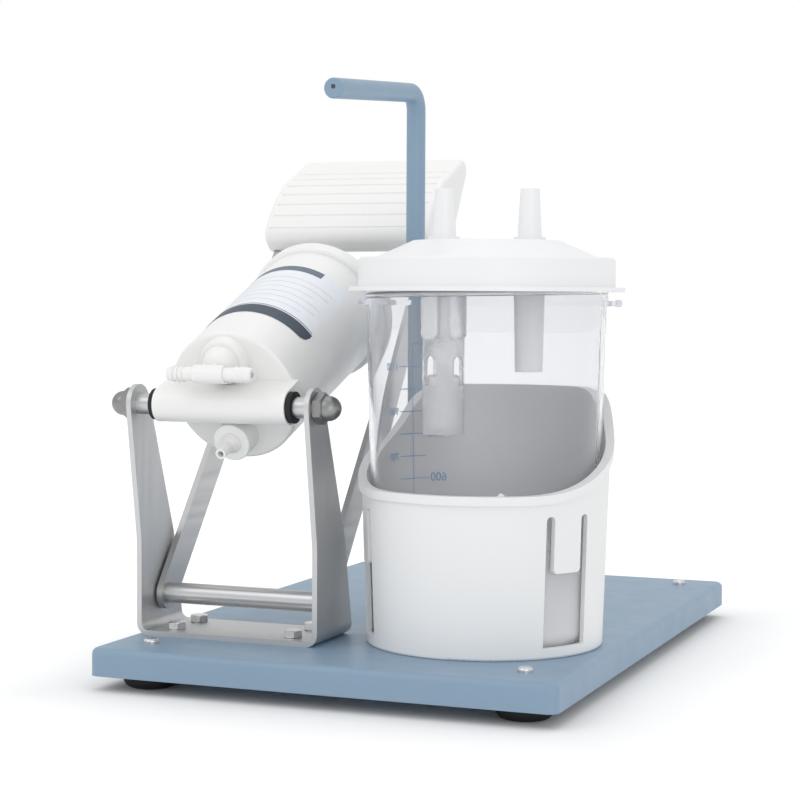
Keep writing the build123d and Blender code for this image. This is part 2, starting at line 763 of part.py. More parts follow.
# Front cap: disc, spigot, and the moulded tube that hangs the pump on the axle
spigot_radius = barrel_bore / 2 - press_gap
spigot_bore = spigot_radius - spigot_wall
seal_station = barrel_start + cap_spigot_length / 2
with BuildPart() as front_cap:
    with BuildSketch(pump_side):
        Polygon(
            (cap_face, 0), (cap_face, barrel_front_diameter / 2), (barrel_start, barrel_front_diameter / 2),
            (barrel_start, spigot_radius), (barrel_start + cap_spigot_length, spigot_radius),
            (barrel_start + cap_spigot_length, spigot_bore), (cap_face + cap_wall, spigot_bore),
            (cap_face + cap_wall, 0), align=None,
        )
    revolve(axis=pump_axis)
    fillet(
        front_cap.edges().filter_by(GeomType.CIRCLE).sort_by_distance(
            axle_point + along * cap_face + across * barrel_front_diameter / 2
        )[0], cap_edge,
    )
    with BuildSketch(pump_side):
        with Locations((seal_station, spigot_radius)):
            Rectangle(seal_section + 2 * press_gap, 2 * seal_section * 0.8)
    revolve(axis=pump_axis, mode=Mode.SUBTRACT)
    with BuildSketch(cross_plane(0)):
        Rectangle(tube_length, tube_diameter)
    extrude(amount=-(cap_face + cap_wall / 2))
    with BuildSketch(side_plane(0)):
        with Locations(axle):
            Circle(tube_diameter / 2)
    extrude(amount=tube_length / 2, both=True)
    with BuildSketch(side_plane(0)):
        with Locations(axle):
            Circle(bush_diameter / 2 + press_gap)
    extrude(amount=tube_length, both=True, mode=Mode.SUBTRACT)
    for height in (inlet_height, -outlet_height):
        with BuildSketch(cross_plane(cap_face + cap_wall, height)):
            Circle(flap_stem_diameter / 2 + press_gap)
            with PolarLocations(valve_hole_circle_diameter / 2, 4, 45):
                Circle(valve_hole_diameter / 2)
        extrude(amount=cap_wall, mode=Mode.SUBTRACT)
front_cap.part.label = "front_cap"
export_step(front_cap.part, "parts/front_cap.step")

# O-ring in the spigot's groove
seal_depth = seal_section * 0.8
with BuildPart() as front_cap_seal:
    with BuildSketch(pump_side):
        with Locations((seal_station, spigot_radius - (seal_depth - press_gap) / 2)):
            Circle(seal_depth / 2)
    revolve(axis=pump_axis)
front_cap_seal.part.label = "front_cap_seal"
export_step(front_cap_seal.part, "parts/front_cap_seal.step")

# Rear cap with its rod boss and vents
rear_face = barrel_end + rear_cap_length
rear_wall_inside = rear_face - rear_cap_wall
with BuildPart() as rear_cap:
    with BuildSketch(pump_side):
        Polygon(
            (barrel_end - cap_spigot_length, spigot_bore), (barrel_end - cap_spigot_length, spigot_radius),
            (barrel_end, spigot_radius), (barrel_end, rear_cap_diameter / 2),
            (rear_face, rear_cap_diameter / 2), (rear_face, rear_boss_diameter / 2),
            (rear_face + rear_boss_length, rear_boss_diameter / 2),
            (rear_face + rear_boss_length, guide_bush_diameter / 2 + press_gap),
            (rear_wall_inside - guide_boss_inset / 2, guide_bush_diameter / 2 + press_gap),
            (rear_wall_inside - guide_boss_inset / 2, rear_boss_diameter / 2),
            (rear_wall_inside, rear_boss_diameter / 2), (rear_wall_inside, spigot_bore), align=None,
        )
    revolve(axis=pump_axis)
    rim_spot = axle_point + across * rear_cap_diameter / 2
    rim_edges = rear_cap.edges().filter_by(GeomType.CIRCLE)
    fillet(rim_edges.sort_by_distance(rim_spot + along * rear_face)[0], rear_cap_edge)
    rim_edges = rear_cap.edges().filter_by(GeomType.CIRCLE)
    fillet(rim_edges.sort_by_distance(rim_spot + along * barrel_end)[0], rear_cap_edge * 0.7)
    with BuildSketch(cross_plane(rear_face)):
        with PolarLocations((rear_boss_diameter / 2 + spigot_bore) / 2, vent_count, 45):
            Circle(vent_diameter / 2)
    extrude(amount=rear_cap_wall, mode=Mode.SUBTRACT)
rear_cap.part.label = "rear_cap"
export_step(rear_cap.part, "parts/rear_cap.step")

# Bush that guides the rod, flanged on the outside
guide_start = rear_wall_inside - guide_boss_inset / 2
guide_end = rear_face + rear_boss_length
with BuildPart() as rod_guide_bush:
    with BuildSketch(pump_side):
        Polygon(
            (guide_start, rod_diameter / 2 + running_gap), (guide_start, guide_bush_diameter / 2),
            (guide_end, guide_bush_diameter / 2), (guide_end, guide_bush_diameter / 2 + 2),
            (guide_end + guide_bush_flange, guide_bush_diameter / 2 + 2),
            (guide_end + guide_bush_flange, rod_diameter / 2 + running_gap), align=None,
        )
    revolve(axis=pump_axis)
rod_guide_bush.part.label = "rod_guide_bush"
export_step(rod_guide_bush.part, "parts/rod_guide_bush.step")

# Flanged rubber bushes in the ends of the cap's tube
with BuildPart() as axle_bushes:
    for side in (-1, 1):
        with BuildSketch(outward(tube_length / 2 - bush_length, axle, side)):
            Circle(bush_diameter / 2)
            Circle(axle_diameter / 2 + running_gap, mode=Mode.SUBTRACT)
        extrude(amount=bush_length)
        with BuildSketch(outward(tube_length / 2, axle, side)):
            Circle(bush_flange_diameter / 2)
            Circle(axle_diameter / 2 + running_gap, mode=Mode.SUBTRACT)
        extrude(amount=bush_flange)
axle_bushes.part.label = "axle_bushes"
export_step(axle_bushes.part, "parts/axle_bushes.step")

# Inlet valve housing: a base ring and a dome, hollow over the valve holes
inlet_axis = Axis(axle_point + across * inlet_height, along)
inlet_side = Plane(origin=axle_point + across * inlet_height, x_dir=along, z_dir=(1, 0, 0))
dome_start = cap_face - inlet_base_length
dome_end = dome_start - inlet_dome_length
valve_room = flap_diameter / 2 + 1.4
with BuildPart() as inlet_valve_housing:
    with BuildSketch(inlet_side):
        with BuildLine():
            Polyline(
                (dome_end, tee_stub_diameter / 2), (dome_end, 0), (cap_face, 0),
                (cap_face, inlet_base_diameter / 2), (dome_start, inlet_base_diameter / 2),
                (dome_start, inlet_dome_diameter / 2),
            )
            ThreePointArc(
                (dome_start, inlet_dome_diameter / 2),
                (dome_start - inlet_dome_length * 0.72, inlet_dome_diameter / 2 * 0.78),
                (dome_end, tee_stub_diameter / 2),
            )
        make_face()
    revolve(axis=inlet_axis)
    with BuildSketch(inlet_side):
        Polygon(
            (cap_face, 0), (cap_face, valve_room), (dome_start + 1, valve_room),
            (dome_start - inlet_dome_length / 3, hose_bore / 2), (dome_end, hose_bore / 2), (dome_end, 0),
            align=None,
        )
    revolve(axis=inlet_axis, mode=Mode.SUBTRACT)
    fillet(
        inlet_valve_housing.edges().filter_by(GeomType.CIRCLE).sort_by_distance(
            axle_point + across * (inlet_height + inlet_base_diameter / 2) + along * dome_start
        )[0], inlet_base_length * 0.2,
    )
inlet_valve_housing.part.label = "inlet_valve_housing"
export_step(inlet_valve_housing.part, "parts/inlet_valve_housing.step")

# Tee connector: a stub on the dome and a barbed hose end to each side
tee_station = cap_face - tee_reach
tee_point = axle_point + along * tee_station + across * inlet_height
barb_outline = [(0, 0), (0, tee_middle_diameter / 2), (tee_middle_length / 2, tee_middle_diameter / 2)]
barb_root = tee_length / 2 - barb_count * barb_pitch - 1.0
barb_outline.append((tee_middle_length / 2, hose_core_diameter / 2))
for index in range(barb_count):
    step = barb_root + index * barb_pitch
    barb_outline.append((step, hose_core_diameter / 2))
    barb_outline.append((step, hose_barb_diameter / 2))
barb_outline.append((tee_length / 2 - 0.6, hose_core_diameter / 2))
barb_outline.append((tee_length / 2, hose_core_diameter / 2 - 0.5))
barb_outline.append((tee_length / 2, 0))
with BuildPart() as tee_connector:
    with BuildSketch(cross_plane(tee_station, inlet_height)) as tee_half:
        Polygon(*barb_outline, align=None)
        mirror(about=Plane.YZ)
    revolve(axis=Axis(tee_point, (1, 0, 0)))
    with BuildSketch(cross_plane(dome_end, inlet_height)):
        Circle(tee_stub_diameter / 2)
    extrude(amount=dome_end - tee_station)
    with BuildSketch(cross_plane(dome_end, inlet_height)):
        Circle(hose_bore / 2)
    extrude(amount=dome_end - tee_station, mode=Mode.SUBTRACT)
    with BuildSketch(Plane(origin=tee_point, x_dir=(0, 1, 0), z_dir=(1, 0, 0))):
        Circle(hose_bore / 2)
    extrude(amount=tee_length, both=True, mode=Mode.SUBTRACT)
tee_connector.part.label = "tee_connector"
export_step(tee_connector.part, "parts/tee_connector.step")

# Outlet valve housing below the tube, and its exhaust nozzle
outlet_front = cap_face - outlet_length
outlet_axis = Axis(axle_point - across * outlet_height, along)
outlet_side = Plane(origin=axle_point - across * outlet_height, x_dir=along, z_dir=(1, 0, 0))
nozzle_seat = nozzle_diameter / 2
with BuildPart() as outlet_valve_housing:
    with BuildSketch(outlet_side):
        Polygon(
            (cap_face, valve_room), (cap_face, outlet_diameter / 2), (outlet_front, outlet_diameter / 2),
            (outlet_front, nozzle_seat + press_gap), (outlet_front + outlet_length / 3, nozzle_seat + press_gap),
            (outlet_front + outlet_length / 3, hose_bore / 2), (cap_face - outlet_length / 2, hose_bore / 2),
            (cap_face - outlet_length / 2, valve_room), align=None,
        )
    revolve(axis=outlet_axis)
    fillet(
        outlet_valve_housing.edges().filter_by(GeomType.CIRCLE).sort_by_distance(
            axle_point - across * (outlet_height + outlet_diameter / 2) + along * outlet_front
        )[0], 0.8,
    )
outlet_valve_housing.part.label = "outlet_valve_housing"
export_step(outlet_valve_housing.part, "parts/outlet_valve_housing.step")

with BuildPart() as exhaust_nozzle:
    with BuildSketch(outlet_side):
        Polygon(
            (outlet_front + outlet_length / 3 - press_gap, hose_bore / 2),
            (outlet_front + outlet_length / 3 - press_gap, nozzle_seat),
            (outlet_front, nozzle_seat), (outlet_front, nozzle_cone_diameter / 2),
            (outlet_front - 0.8, nozzle_cone_diameter / 2),
            (outlet_front - nozzle_cone_length, nozzle_diameter / 2 + 0.3),
            (outlet_front - nozzle_length, nozzle_diameter / 2),
            (outlet_front - nozzle_length, hose_bore / 2), align=None,
        )
    revolve(axis=outlet_axis)
exhaust_nozzle.part.label = "exhaust_nozzle"
export_step(exhaust_nozzle.part, "parts/exhaust_nozzle.step")


# Rubber flaps: the inlet's lies inside the cap, the outlet's outside it
def flap_section(seat, outward_step):
    """Half section of a mushroom flap on the face at seat, its stem through the cap's wall."""
    lid_near = seat + outward_step * seat_gap
    lid_far = lid_near + outward_step * flap_thickness
    stem_end = seat - outward_step * (cap_wall + 1.2)
    return [
        (lid_far, 0), (lid_far, flap_diameter / 2 - 0.5), (lid_near, flap_diameter / 2),
        (lid_near, flap_stem_diameter / 2), (stem_end, flap_stem_diameter / 2), (stem_end, 0),
    ]


with BuildPart() as inlet_flap:
    with BuildSketch(inlet_side):
        Polygon(*flap_section(cap_face + cap_wall, 1), align=None)
    revolve(axis=inlet_axis)
inlet_flap.part.label = "inlet_flap"
export_step(inlet_flap.part, "parts/inlet_flap.step")

with BuildPart() as outlet_flap:
    with BuildSketch(outlet_side):
        Polygon(*flap_section(cap_face, -1), align=None)
    revolve(axis=outlet_axis)
outlet_flap.part.label = "outlet_flap"
export_step(outlet_flap.part, "parts/outlet_flap.step")

# Piston rod: threaded end, shoulder, and the eye that the cross pin draws
cup_station = piston_start + piston_nut_height
head_station = cup_station + cup_base
shoulder_station = head_station + piston_thickness
eye_slot_width = rod_pin_diameter + 2 * rod_eye_play_along
eye_slot_length = rod_pin_diameter + 2 * rod_eye_play_across
eye_width = eye_slot_width + 2 * rod_eye_margin
eye_length = eye_slot_length + 2 * rod_eye_margin
with BuildPart() as piston_rod:
    with BuildSketch(cross_plane(piston_start - 1)):
        Circle(piston_end_diameter / 2)
    extrude(amount=-(shoulder_station - piston_start + 1))
    with BuildSketch(cross_plane(shoulder_station)):
        Circle(rod_diameter / 2)
    extrude(amount=-(rod_pin_station - shoulder_station))
    with BuildSketch(pump_side):
        with Locations((rod_pin_station, 0)):
            SlotOverall(eye_length, eye_width, rotation=90)
    extrude(amount=rod_eye_thickness / 2, both=True)
    with BuildSketch(pump_side):
        with Locations((rod_pin_station, 0)):
            SlotOverall(eye_slot_length, eye_slot_width, rotation=90)
    extrude(amount=rod_eye_thickness, both=True, mode=Mode.SUBTRACT)
piston_rod.part.label = "piston_rod"
export_step(piston_rod.part, "parts/piston_rod.step")

with BuildPart() as piston_head:
    with BuildSketch(cross_plane(head_station)):
        Circle(piston_diameter / 2)
        Circle(piston_end_diameter / 2 + press_gap, mode=Mode.SUBTRACT)
    extrude(amount=-piston_thickness)
piston_head.part.label = "piston_head"
export_step(piston_head.part, "parts/piston_head.step")

# Cup seal: a disc ahead of the head, and a lip round it that faces the rod
cup_radius = barrel_bore / 2 - cup_gap
lip_radius = piston_diameter / 2 + press_gap
with BuildPart() as piston_cup:
    with BuildSketch(pump_side):
        Polygon(
            (cup_station, piston_end_diameter / 2 + press_gap), (cup_station, cup_radius - 1),
            (cup_station + cup_base / 2, cup_radius), (head_station + cup_lip, cup_radius),
            (head_station + cup_lip, lip_radius), (head_station - press_gap, lip_radius),
            (head_station - press_gap, piston_end_diameter / 2 + press_gap), align=None,
        )
    revolve(axis=pump_axis)
piston_cup.part.label = "piston_cup"
export_step(piston_cup.part, "parts/piston_cup.step")

piston_nut_shape = hex_prism(piston_nut_flats, piston_nut_height, piston_end_diameter + 2 * press_gap)
with BuildPart() as piston_nut:
    with Locations(cross_plane(cup_station).location):
        add(piston_nut_shape)
piston_nut.part.label = "piston_nut"
export_step(piston_nut.part, "parts/piston_nut.step")

# Return spring between the piston head and the rear cap
spring_start = shoulder_station + spring_wire / 2 + press_gap
spring_end = rear_wall_inside - spring_wire / 2 - press_gap
spring_height = spring_end - spring_start
with BuildPart() as return_spring:
    with BuildLine() as coil:
        Helix(
            pitch=spring_height / spring_turns, height=spring_height, radius=spring_diameter / 2,
            center=axle_point + along * spring_start, direction=along,
        )
    with BuildSketch(Plane(origin=coil.line @ 0, z_dir=coil.line % 0)):
        Circle(spring_wire / 2)
    sweep(path=coil.line, is_frenet=True)
return_spring.part.label = "return_spring"
export_step(return_spring.part, "parts/return_spring.step")

# Jar holder: a drafted cup, scooped from low at the front to high at the back
scoop_low = jar_y - holder_top_radius * scoop_low_share
scoop_shoulder = jar_y + holder_top_radius * scoop_shoulder_share
scoop_high = jar_y + holder_top_radius * scoop_high_share
scoop_clear = 2 * holder_top_radius


def scoop_outline(drop):
    """Side view of everything above the scooped rim, lowered by drop."""
    with BuildSketch() as outline:
        with BuildLine():
            rim = Spline(
                (scoop_low, holder_front - drop), (jar_y, holder_front + scoop_rise - drop),
                (scoop_shoulder, holder_front + scoop_shoulder_rise - drop),
                (scoop_high, holder_top - drop),
                tangents=((1, 0), (1, 0)),
            )
            Polyline(
                rim @ 1, (jar_y + scoop_clear, holder_top - drop),
                (jar_y + scoop_clear, holder_top + rim_height), (jar_y - scoop_clear, holder_top + rim_height),
                (jar_y - scoop_clear, holder_front - drop), rim @ 0,
            )
        make_face()
    return outline.sketch


above_rim = scoop_outline(0)
above_bead = scoop_outline(rim_height)

with BuildPart() as rim_bead_ring:
    with BuildSketch(jar_section):
        Polygon(
            (holder_bottom_radius - 1, plate_top), (holder_bottom_radius + rim_bead, plate_top),
            (holder_top_radius + rim_bead, holder_top), (holder_top_radius - 1, holder_top), align=None,
        )
    revolve(axis=jar_axis)
    with BuildSketch(Plane.YZ.offset(jar_x)):
        add(above_bead)
    extrude(amount=scoop_clear, both=True, mode=Mode.INTERSECT)

with BuildPart() as jar_holder:
    with BuildSketch(jar_section):
        Polygon(
            (0, plate_top), (holder_bottom_radius, plate_top), (holder_top_radius, holder_top),
            (holder_top_radius - holder_wall, holder_top),
            (holder_bottom_radius - holder_wall, plate_top + holder_floor),
            (0, plate_top + holder_floor), align=None,
        )
    revolve(axis=jar_axis)
    fillet(jar_holder.edges().filter_by(GeomType.CIRCLE).group_by(Axis.Z)[0], 1.2)
    add(rim_bead_ring.part)
    with BuildSketch(Plane.YZ.offset(jar_x)):
        add(above_rim)
    extrude(amount=scoop_clear, both=True, mode=Mode.SUBTRACT)
    for bearing in (-window_bearing, window_bearing, 180):
        turn = radians(bearing)
        window_plane = Plane(
            origin=(jar_x, jar_y, plate_top), x_dir=(cos(turn), sin(turn), 0), z_dir=(sin(turn), -cos(turn), 0)
        )
        slot_width = (window_width - tongue_width) / 2
        with BuildSketch(window_plane):
            with Locations((0, window_bottom)):
                Rectangle(window_width, window_top - tongue_drop - window_bottom, align=(Align.CENTER, Align.MIN))
            for side in (-1, 1):
                with Locations((side * (tongue_width + slot_width) / 2, window_top - tongue_drop)):
                    Rectangle(slot_width, tongue_drop - slot_width / 2, align=(Align.CENTER, Align.MIN))
                with Locations((side * (tongue_width + slot_width) / 2, window_top - slot_width / 2)):
                    Circle(slot_width / 2)
        extrude(amount=scoop_clear, mode=Mode.SUBTRACT)
        corner_spot = Vector(jar_x, jar_y, plate_top + window_top - tongue_drop)
        corner_spot += Vector(sin(turn), -cos(turn), 0) * holder_bottom_radius
        tongue_edges = jar_holder.edges().filter_by(GeomType.LINE).filter_by(
            lambda edge: abs(edge.center().Z - corner_spot.Z) < 0.1 and edge.length < 2 * holder_wall
        )
        fillet(tongue_edges.sort_by_distance(corner_spot)[0:2], tongue_corner)
    with Locations((jar_x, jar_y, plate_top + holder_floor)):
        with Locations(holder_screw_places.locations):
            CounterSinkHole(
                holder_screw_diameter / 2 + press_gap, holder_screw_head / 2 + press_gap, holder_floor
            )
jar_holder.part.label = "jar_holder"
export_step(jar_holder.part, "parts/jar_holder.step")

# Countersunk screws in the holder's floor, and their nuts
holder_nut_level = sheet_underside - foot_nut_height
screw_cone = (holder_screw_head - holder_screw_diameter) / 2
with BuildPart() as holder_screw_shape:
    with BuildSketch(Plane.XZ):
        Polygon(
            (0, 0), (holder_screw_head / 2, 0), (holder_screw_diameter / 2, -screw_cone),
            (holder_screw_diameter / 2, -(holder_floor + plate_sheet + foot_nut_height + screw_end)),
            (0, -(holder_floor + plate_sheet + foot_nut_height + screw_end)), align=None,
        )
    revolve(axis=Axis.Z)

with BuildPart() as holder_screws:
    with Locations((jar_x, jar_y, plate_top + holder_floor)):
        with Locations(holder_screw_places.locations):
            add(holder_screw_shape.part)
holder_screws.part.label = "holder_screws"
export_step(holder_screws.part, "parts/holder_screws.step")

holder_nut_shape = hex_prism(foot_nut_flats, foot_nut_height, holder_screw_diameter + 2 * press_gap)
with BuildPart() as holder_nuts:
    with Locations((jar_x, jar_y, holder_nut_level)):
        with Locations(holder_screw_places.locations):
            add(holder_nut_shape)
holder_nuts.part.label = "holder_nuts"
export_step(holder_nuts.part, "parts/holder_nuts.step")

# Jar: a drafted clear body, a stop ring and a plain neck
jar_base_r = jar_base_diameter / 2
jar_top_r = jar_top_diameter / 2
jar_neck_r = jar_neck_diameter / 2
with BuildPart() as jar_body:
    with BuildSketch(jar_section):
        with BuildLine():
            Polyline(
                (0, jar_base), (jar_base_r, jar_base), (jar_top_r, jar_ring),
                (jar_ring_diameter / 2, jar_ring), (jar_ring_diameter / 2, jar_ring + jar_ring_thickness),
                (jar_neck_r, jar_ring + jar_ring_thickness), (jar_neck_r, jar_mouth),
                (jar_top_r - jar_wall, jar_mouth), (jar_top_r - jar_wall, jar_ring),
                (jar_base_r - jar_wall, jar_base + jar_floor), (0, jar_base + jar_floor), (0, jar_base),
            )
        make_face()
    revolve(axis=jar_axis)
    jar_rings = jar_body.edges().filter_by(GeomType.CIRCLE)
    fillet(jar_rings.sort_by_distance((jar_x + jar_base_r, jar_y, jar_base))[0], jar_base_radius)
    jar_rings = jar_body.edges().filter_by(GeomType.CIRCLE)
    fillet(
        jar_rings.sort_by_distance((jar_x + jar_base_r - jar_wall, jar_y, jar_base + jar_floor))[0],
        jar_base_radius - jar_wall,
    )
jar_body.part.label = "jar_body"
export_step(jar_body.part, "parts/jar_body.step")

# Flat ring seal between the jar's mouth and the lid
with BuildPart() as lid_seal:
    with BuildSketch(Plane.XY.offset(jar_mouth + press_gap)):
        with Locations((jar_x, jar_y)):
            Circle(jar_neck_r)
            Circle(jar_top_r - jar_wall, mode=Mode.SUBTRACT)
    extrude(amount=seal_thickness - 2 * press_gap)
lid_seal.part.label = "lid_seal"
export_step(lid_seal.part, "parts/lid_seal.step")

# Lid: skirt with a brim, flat shoulder, low cone, and two tapered hose ports
lid_skirt_r = lid_skirt_diameter / 2
brim_level = lid_shoulder - lid_skirt_length
with BuildPart() as lid_shell:
    with BuildSketch(jar_section):
        Polygon(
            (0, lid_crown), (lid_crown_diameter / 2, lid_crown), (lid_cone_diameter / 2, lid_shoulder),
            (lid_skirt_r, lid_shoulder), (lid_skirt_r, brim_level),
            (lid_brim_diameter / 2, brim_level), (lid_brim_diameter / 2, brim_level - lid_brim_thickness),
            (lid_skirt_r - lid_wall / 2, brim_level - lid_brim_thickness),
            (lid_skirt_r - lid_wall / 2, lid_underside), (lid_cone_diameter / 2, lid_underside),
            (lid_crown_diameter / 2, crown_underside), (0, crown_underside), align=None,
        )
    revolve(axis=jar_axis)
    lid_rings = lid_shell.edges().filter_by(GeomType.CIRCLE)
    fillet(lid_rings.sort_by_distance((jar_x + lid_skirt_r, jar_y, lid_shoulder))[0], lid_corner)
    for side in (-1, 1):
        with BuildSketch(port_section(side)):
            Polygon(
                (0, crown_underside - port_spigot_length), (0, lid_crown + port_collar_height + port_length),
                (port_tip_diameter / 2, lid_crown + port_collar_height + port_length),
                (port_root_diameter / 2, lid_crown + port_collar_height),
                (port_collar_diameter / 2, lid_crown + port_collar_height),
                (port_collar_diameter / 2, lid_crown - lid_wall / 2),
                (port_spigot_diameter / 2, lid_crown - lid_wall / 2),
                (port_spigot_diameter / 2, crown_underside - port_spigot_length), align=None,
            )
        revolve(axis=port_axis(side))
        with BuildSketch(Plane.XY.offset(crown_underside - port_spigot_length)):
            with Locations(port_place(side)):
                Circle(port_bore / 2)
        extrude(amount=lid_wall + port_spigot_length + port_collar_height + port_length, mode=Mode.SUBTRACT)
lid_shell.part.label = "lid_shell"
export_step(lid_shell.part, "parts/lid_shell.step")

# Float cage under the left port: socket, head, windowed cage
cage_top = crown_underside - seat_gap
cage_step = cage_top - cage_head_length
cage_bottom = cage_step - cage_length
float_seat = cage_step - float_seat_drop
with BuildPart() as float_cage:
    with BuildSketch(port_section(-1)):
        Polygon(
            (port_spigot_diameter / 2 + press_gap, cage_top), (cage_head_diameter / 2, cage_top),
            (cage_head_diameter / 2, cage_step), (cage_diameter / 2, cage_step - 1.5),
            (cage_diameter / 2, cage_bottom), (cage_bore / 2, cage_bottom), (cage_bore / 2, float_seat),
            (float_nose_diameter / 2 + float_seat_room, float_seat), (port_bore / 2, float_seat + float_seat_cone),
            (port_bore / 2, cage_top - port_spigot_length - 1),
            (port_spigot_diameter / 2 + press_gap, cage_top - port_spigot_length - 1), align=None,
        )
    revolve(axis=port_axis(-1))
    for bearing in (0, 90, 180, 270):
        turn = radians(bearing - port_bearing)
        place = port_place(-1)
        with BuildSketch(Plane(
            origin=(place[0], place[1], cage_step - cage_window_drop),
            x_dir=(cos(turn), sin(turn), 0), z_dir=(sin(turn), -cos(turn), 0),
        )):
            Rectangle(cage_window_width, cage_window_height, align=(Align.CENTER, Align.MAX))
            Circle(cage_window_width / 2)
        extrude(amount=cage_diameter, mode=Mode.SUBTRACT)
float_cage.part.label = "float_cage"
export_step(float_cage.part, "parts/float_cage.step")

# Drained cap that closes the cage
cage_cap_top = cage_bottom + cage_cap_thickness
with BuildPart() as cage_cap:
    with BuildSketch(Plane.XY.offset(cage_bottom)):
        with Locations(port_place(-1)):
            Circle(cage_bore / 2 - press_gap)
            with PolarLocations(cage_bore / 4, 4):
                Circle(1.5, mode=Mode.SUBTRACT)
    extrude(amount=cage_cap_thickness)
cage_cap.part.label = "cage_cap"
export_step(cage_cap.part, "parts/cage_cap.step")

# Float: a hollow-looking slug with a tapered sealing nose
float_bottom = cage_cap_top + seat_gap
with BuildPart() as float_body:
    with BuildSketch(port_section(-1)):
        Polygon(
            (0, float_bottom), (float_diameter / 2 - float_edge, float_bottom), (float_diameter / 2, float_bottom + float_edge),
            (float_diameter / 2, float_bottom + float_length - 1),
            (float_diameter / 2 - 1, float_bottom + float_length),
            (float_nose_diameter / 2, float_bottom + float_length),
            (float_nose_diameter / 2 - 1.5, float_bottom + float_length + float_nose_length),
            (0, float_bottom + float_length + float_nose_length), align=None,
        )
    revolve(axis=port_axis(-1))
float_body.part.label = "float_body"
export_step(float_body.part, "parts/float_body.step")

# Drop tube under the right port
with BuildPart() as drop_tube:
    with BuildSketch(port_section(1)):
        Polygon(
            (port_spigot_diameter / 2 + press_gap, cage_top), (drop_tube_root_diameter / 2, cage_top),
            (drop_tube_tip_diameter / 2, cage_top - drop_tube_length),
            (port_spigot_diameter / 2 + press_gap, cage_top - drop_tube_length), align=None,
        )
    revolve(axis=port_axis(1))
drop_tube.part.label = "drop_tube"
export_step(drop_tube.part, "parts/drop_tube.step")

# Carrying handle: an upright and a drooping arm from one bent rod, on a threaded stud
handle_corner = plate_top + handle_height
handle_end_drop = handle_reach * tan(radians(handle_droop))
stud_length = plate_sheet + handle_nut_height + handle_stud_end
with BuildPart() as carry_handle:
    with BuildLine(Plane.YZ.offset(handle_x)) as rod_line:
        FilletPolyline(
            (handle_y, plate_top), (handle_y, handle_corner),
            (handle_y - handle_reach, handle_corner - handle_end_drop), radius=handle_bend,
        )
    with BuildSketch(Plane.XY.offset(plate_top)):
        with Locations((handle_x, handle_y)):
            Circle(handle_diameter / 2)
    sweep(path=rod_line.line)
    chamfer(carry_handle.edges().filter_by(GeomType.CIRCLE).sort_by(Axis.Y)[0], 0.7)
    with BuildSketch(Plane.XY.offset(plate_top)):
        with Locations((handle_x, handle_y)):
            Circle(handle_stud_diameter / 2)
    extrude(amount=-stud_length)
carry_handle.part.label = "carry_handle"
export_step(carry_handle.part, "parts/carry_handle.step")

handle_nut_shape = hex_prism(handle_nut_flats, handle_nut_height, handle_stud_diameter + 2 * press_gap)
with BuildPart() as handle_nut:
    with Locations((handle_x, handle_y, sheet_underside - handle_nut_height)):
        add(handle_nut_shape)
handle_nut.part.label = "handle_nut"
export_step(handle_nut.part, "parts/handle_nut.step")
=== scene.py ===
import json
import math

import bpy
from mathutils import Matrix, Vector

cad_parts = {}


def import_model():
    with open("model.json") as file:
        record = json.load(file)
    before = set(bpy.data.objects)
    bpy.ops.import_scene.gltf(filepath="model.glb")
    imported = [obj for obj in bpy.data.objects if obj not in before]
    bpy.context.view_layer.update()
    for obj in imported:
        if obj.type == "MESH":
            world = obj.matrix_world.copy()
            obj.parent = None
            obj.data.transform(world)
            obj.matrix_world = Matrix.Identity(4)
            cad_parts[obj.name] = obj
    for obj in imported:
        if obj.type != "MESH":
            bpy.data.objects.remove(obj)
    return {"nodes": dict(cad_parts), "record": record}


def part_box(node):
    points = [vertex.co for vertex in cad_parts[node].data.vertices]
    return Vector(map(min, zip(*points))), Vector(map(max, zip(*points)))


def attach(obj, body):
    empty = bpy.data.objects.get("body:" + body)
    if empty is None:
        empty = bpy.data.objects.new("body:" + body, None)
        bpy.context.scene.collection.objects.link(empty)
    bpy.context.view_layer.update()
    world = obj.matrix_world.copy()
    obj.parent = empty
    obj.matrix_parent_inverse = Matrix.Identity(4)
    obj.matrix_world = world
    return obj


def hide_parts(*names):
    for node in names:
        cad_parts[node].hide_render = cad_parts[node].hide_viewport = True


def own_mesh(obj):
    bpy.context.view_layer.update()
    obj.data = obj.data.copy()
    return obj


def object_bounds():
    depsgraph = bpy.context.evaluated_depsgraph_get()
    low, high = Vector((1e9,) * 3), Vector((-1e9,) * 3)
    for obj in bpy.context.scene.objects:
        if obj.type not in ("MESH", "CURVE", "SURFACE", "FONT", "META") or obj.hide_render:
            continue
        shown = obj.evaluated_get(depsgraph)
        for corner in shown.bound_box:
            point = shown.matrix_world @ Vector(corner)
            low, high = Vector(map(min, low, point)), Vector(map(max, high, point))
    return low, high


# Foot-operated vacuum aspirator: finishes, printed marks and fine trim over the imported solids.
# Metres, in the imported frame: X right, Y back, Z up.

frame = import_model()
cad_low, cad_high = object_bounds()
nodes = frame["nodes"]
MM = 0.001

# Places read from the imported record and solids
joint_of = {joint["name"]: joint for joint in frame["record"]["behaviour"]["joints"]}
axle = Vector(joint_of["pump_tilt"]["pos_m"])
along = Vector(joint_of["piston_slide"]["axis"]).normalized()
across = Vector((0, -along.z, along.y))
jar_axis = Vector(joint_of["lid_turn"]["pos_m"])
jar_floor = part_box("jar_body")[0].z
jar_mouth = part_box("jar_body")[1].z
LEVER_ANGLE = math.radians(51.1)
HANDLE_DROOP = math.radians(4.35)

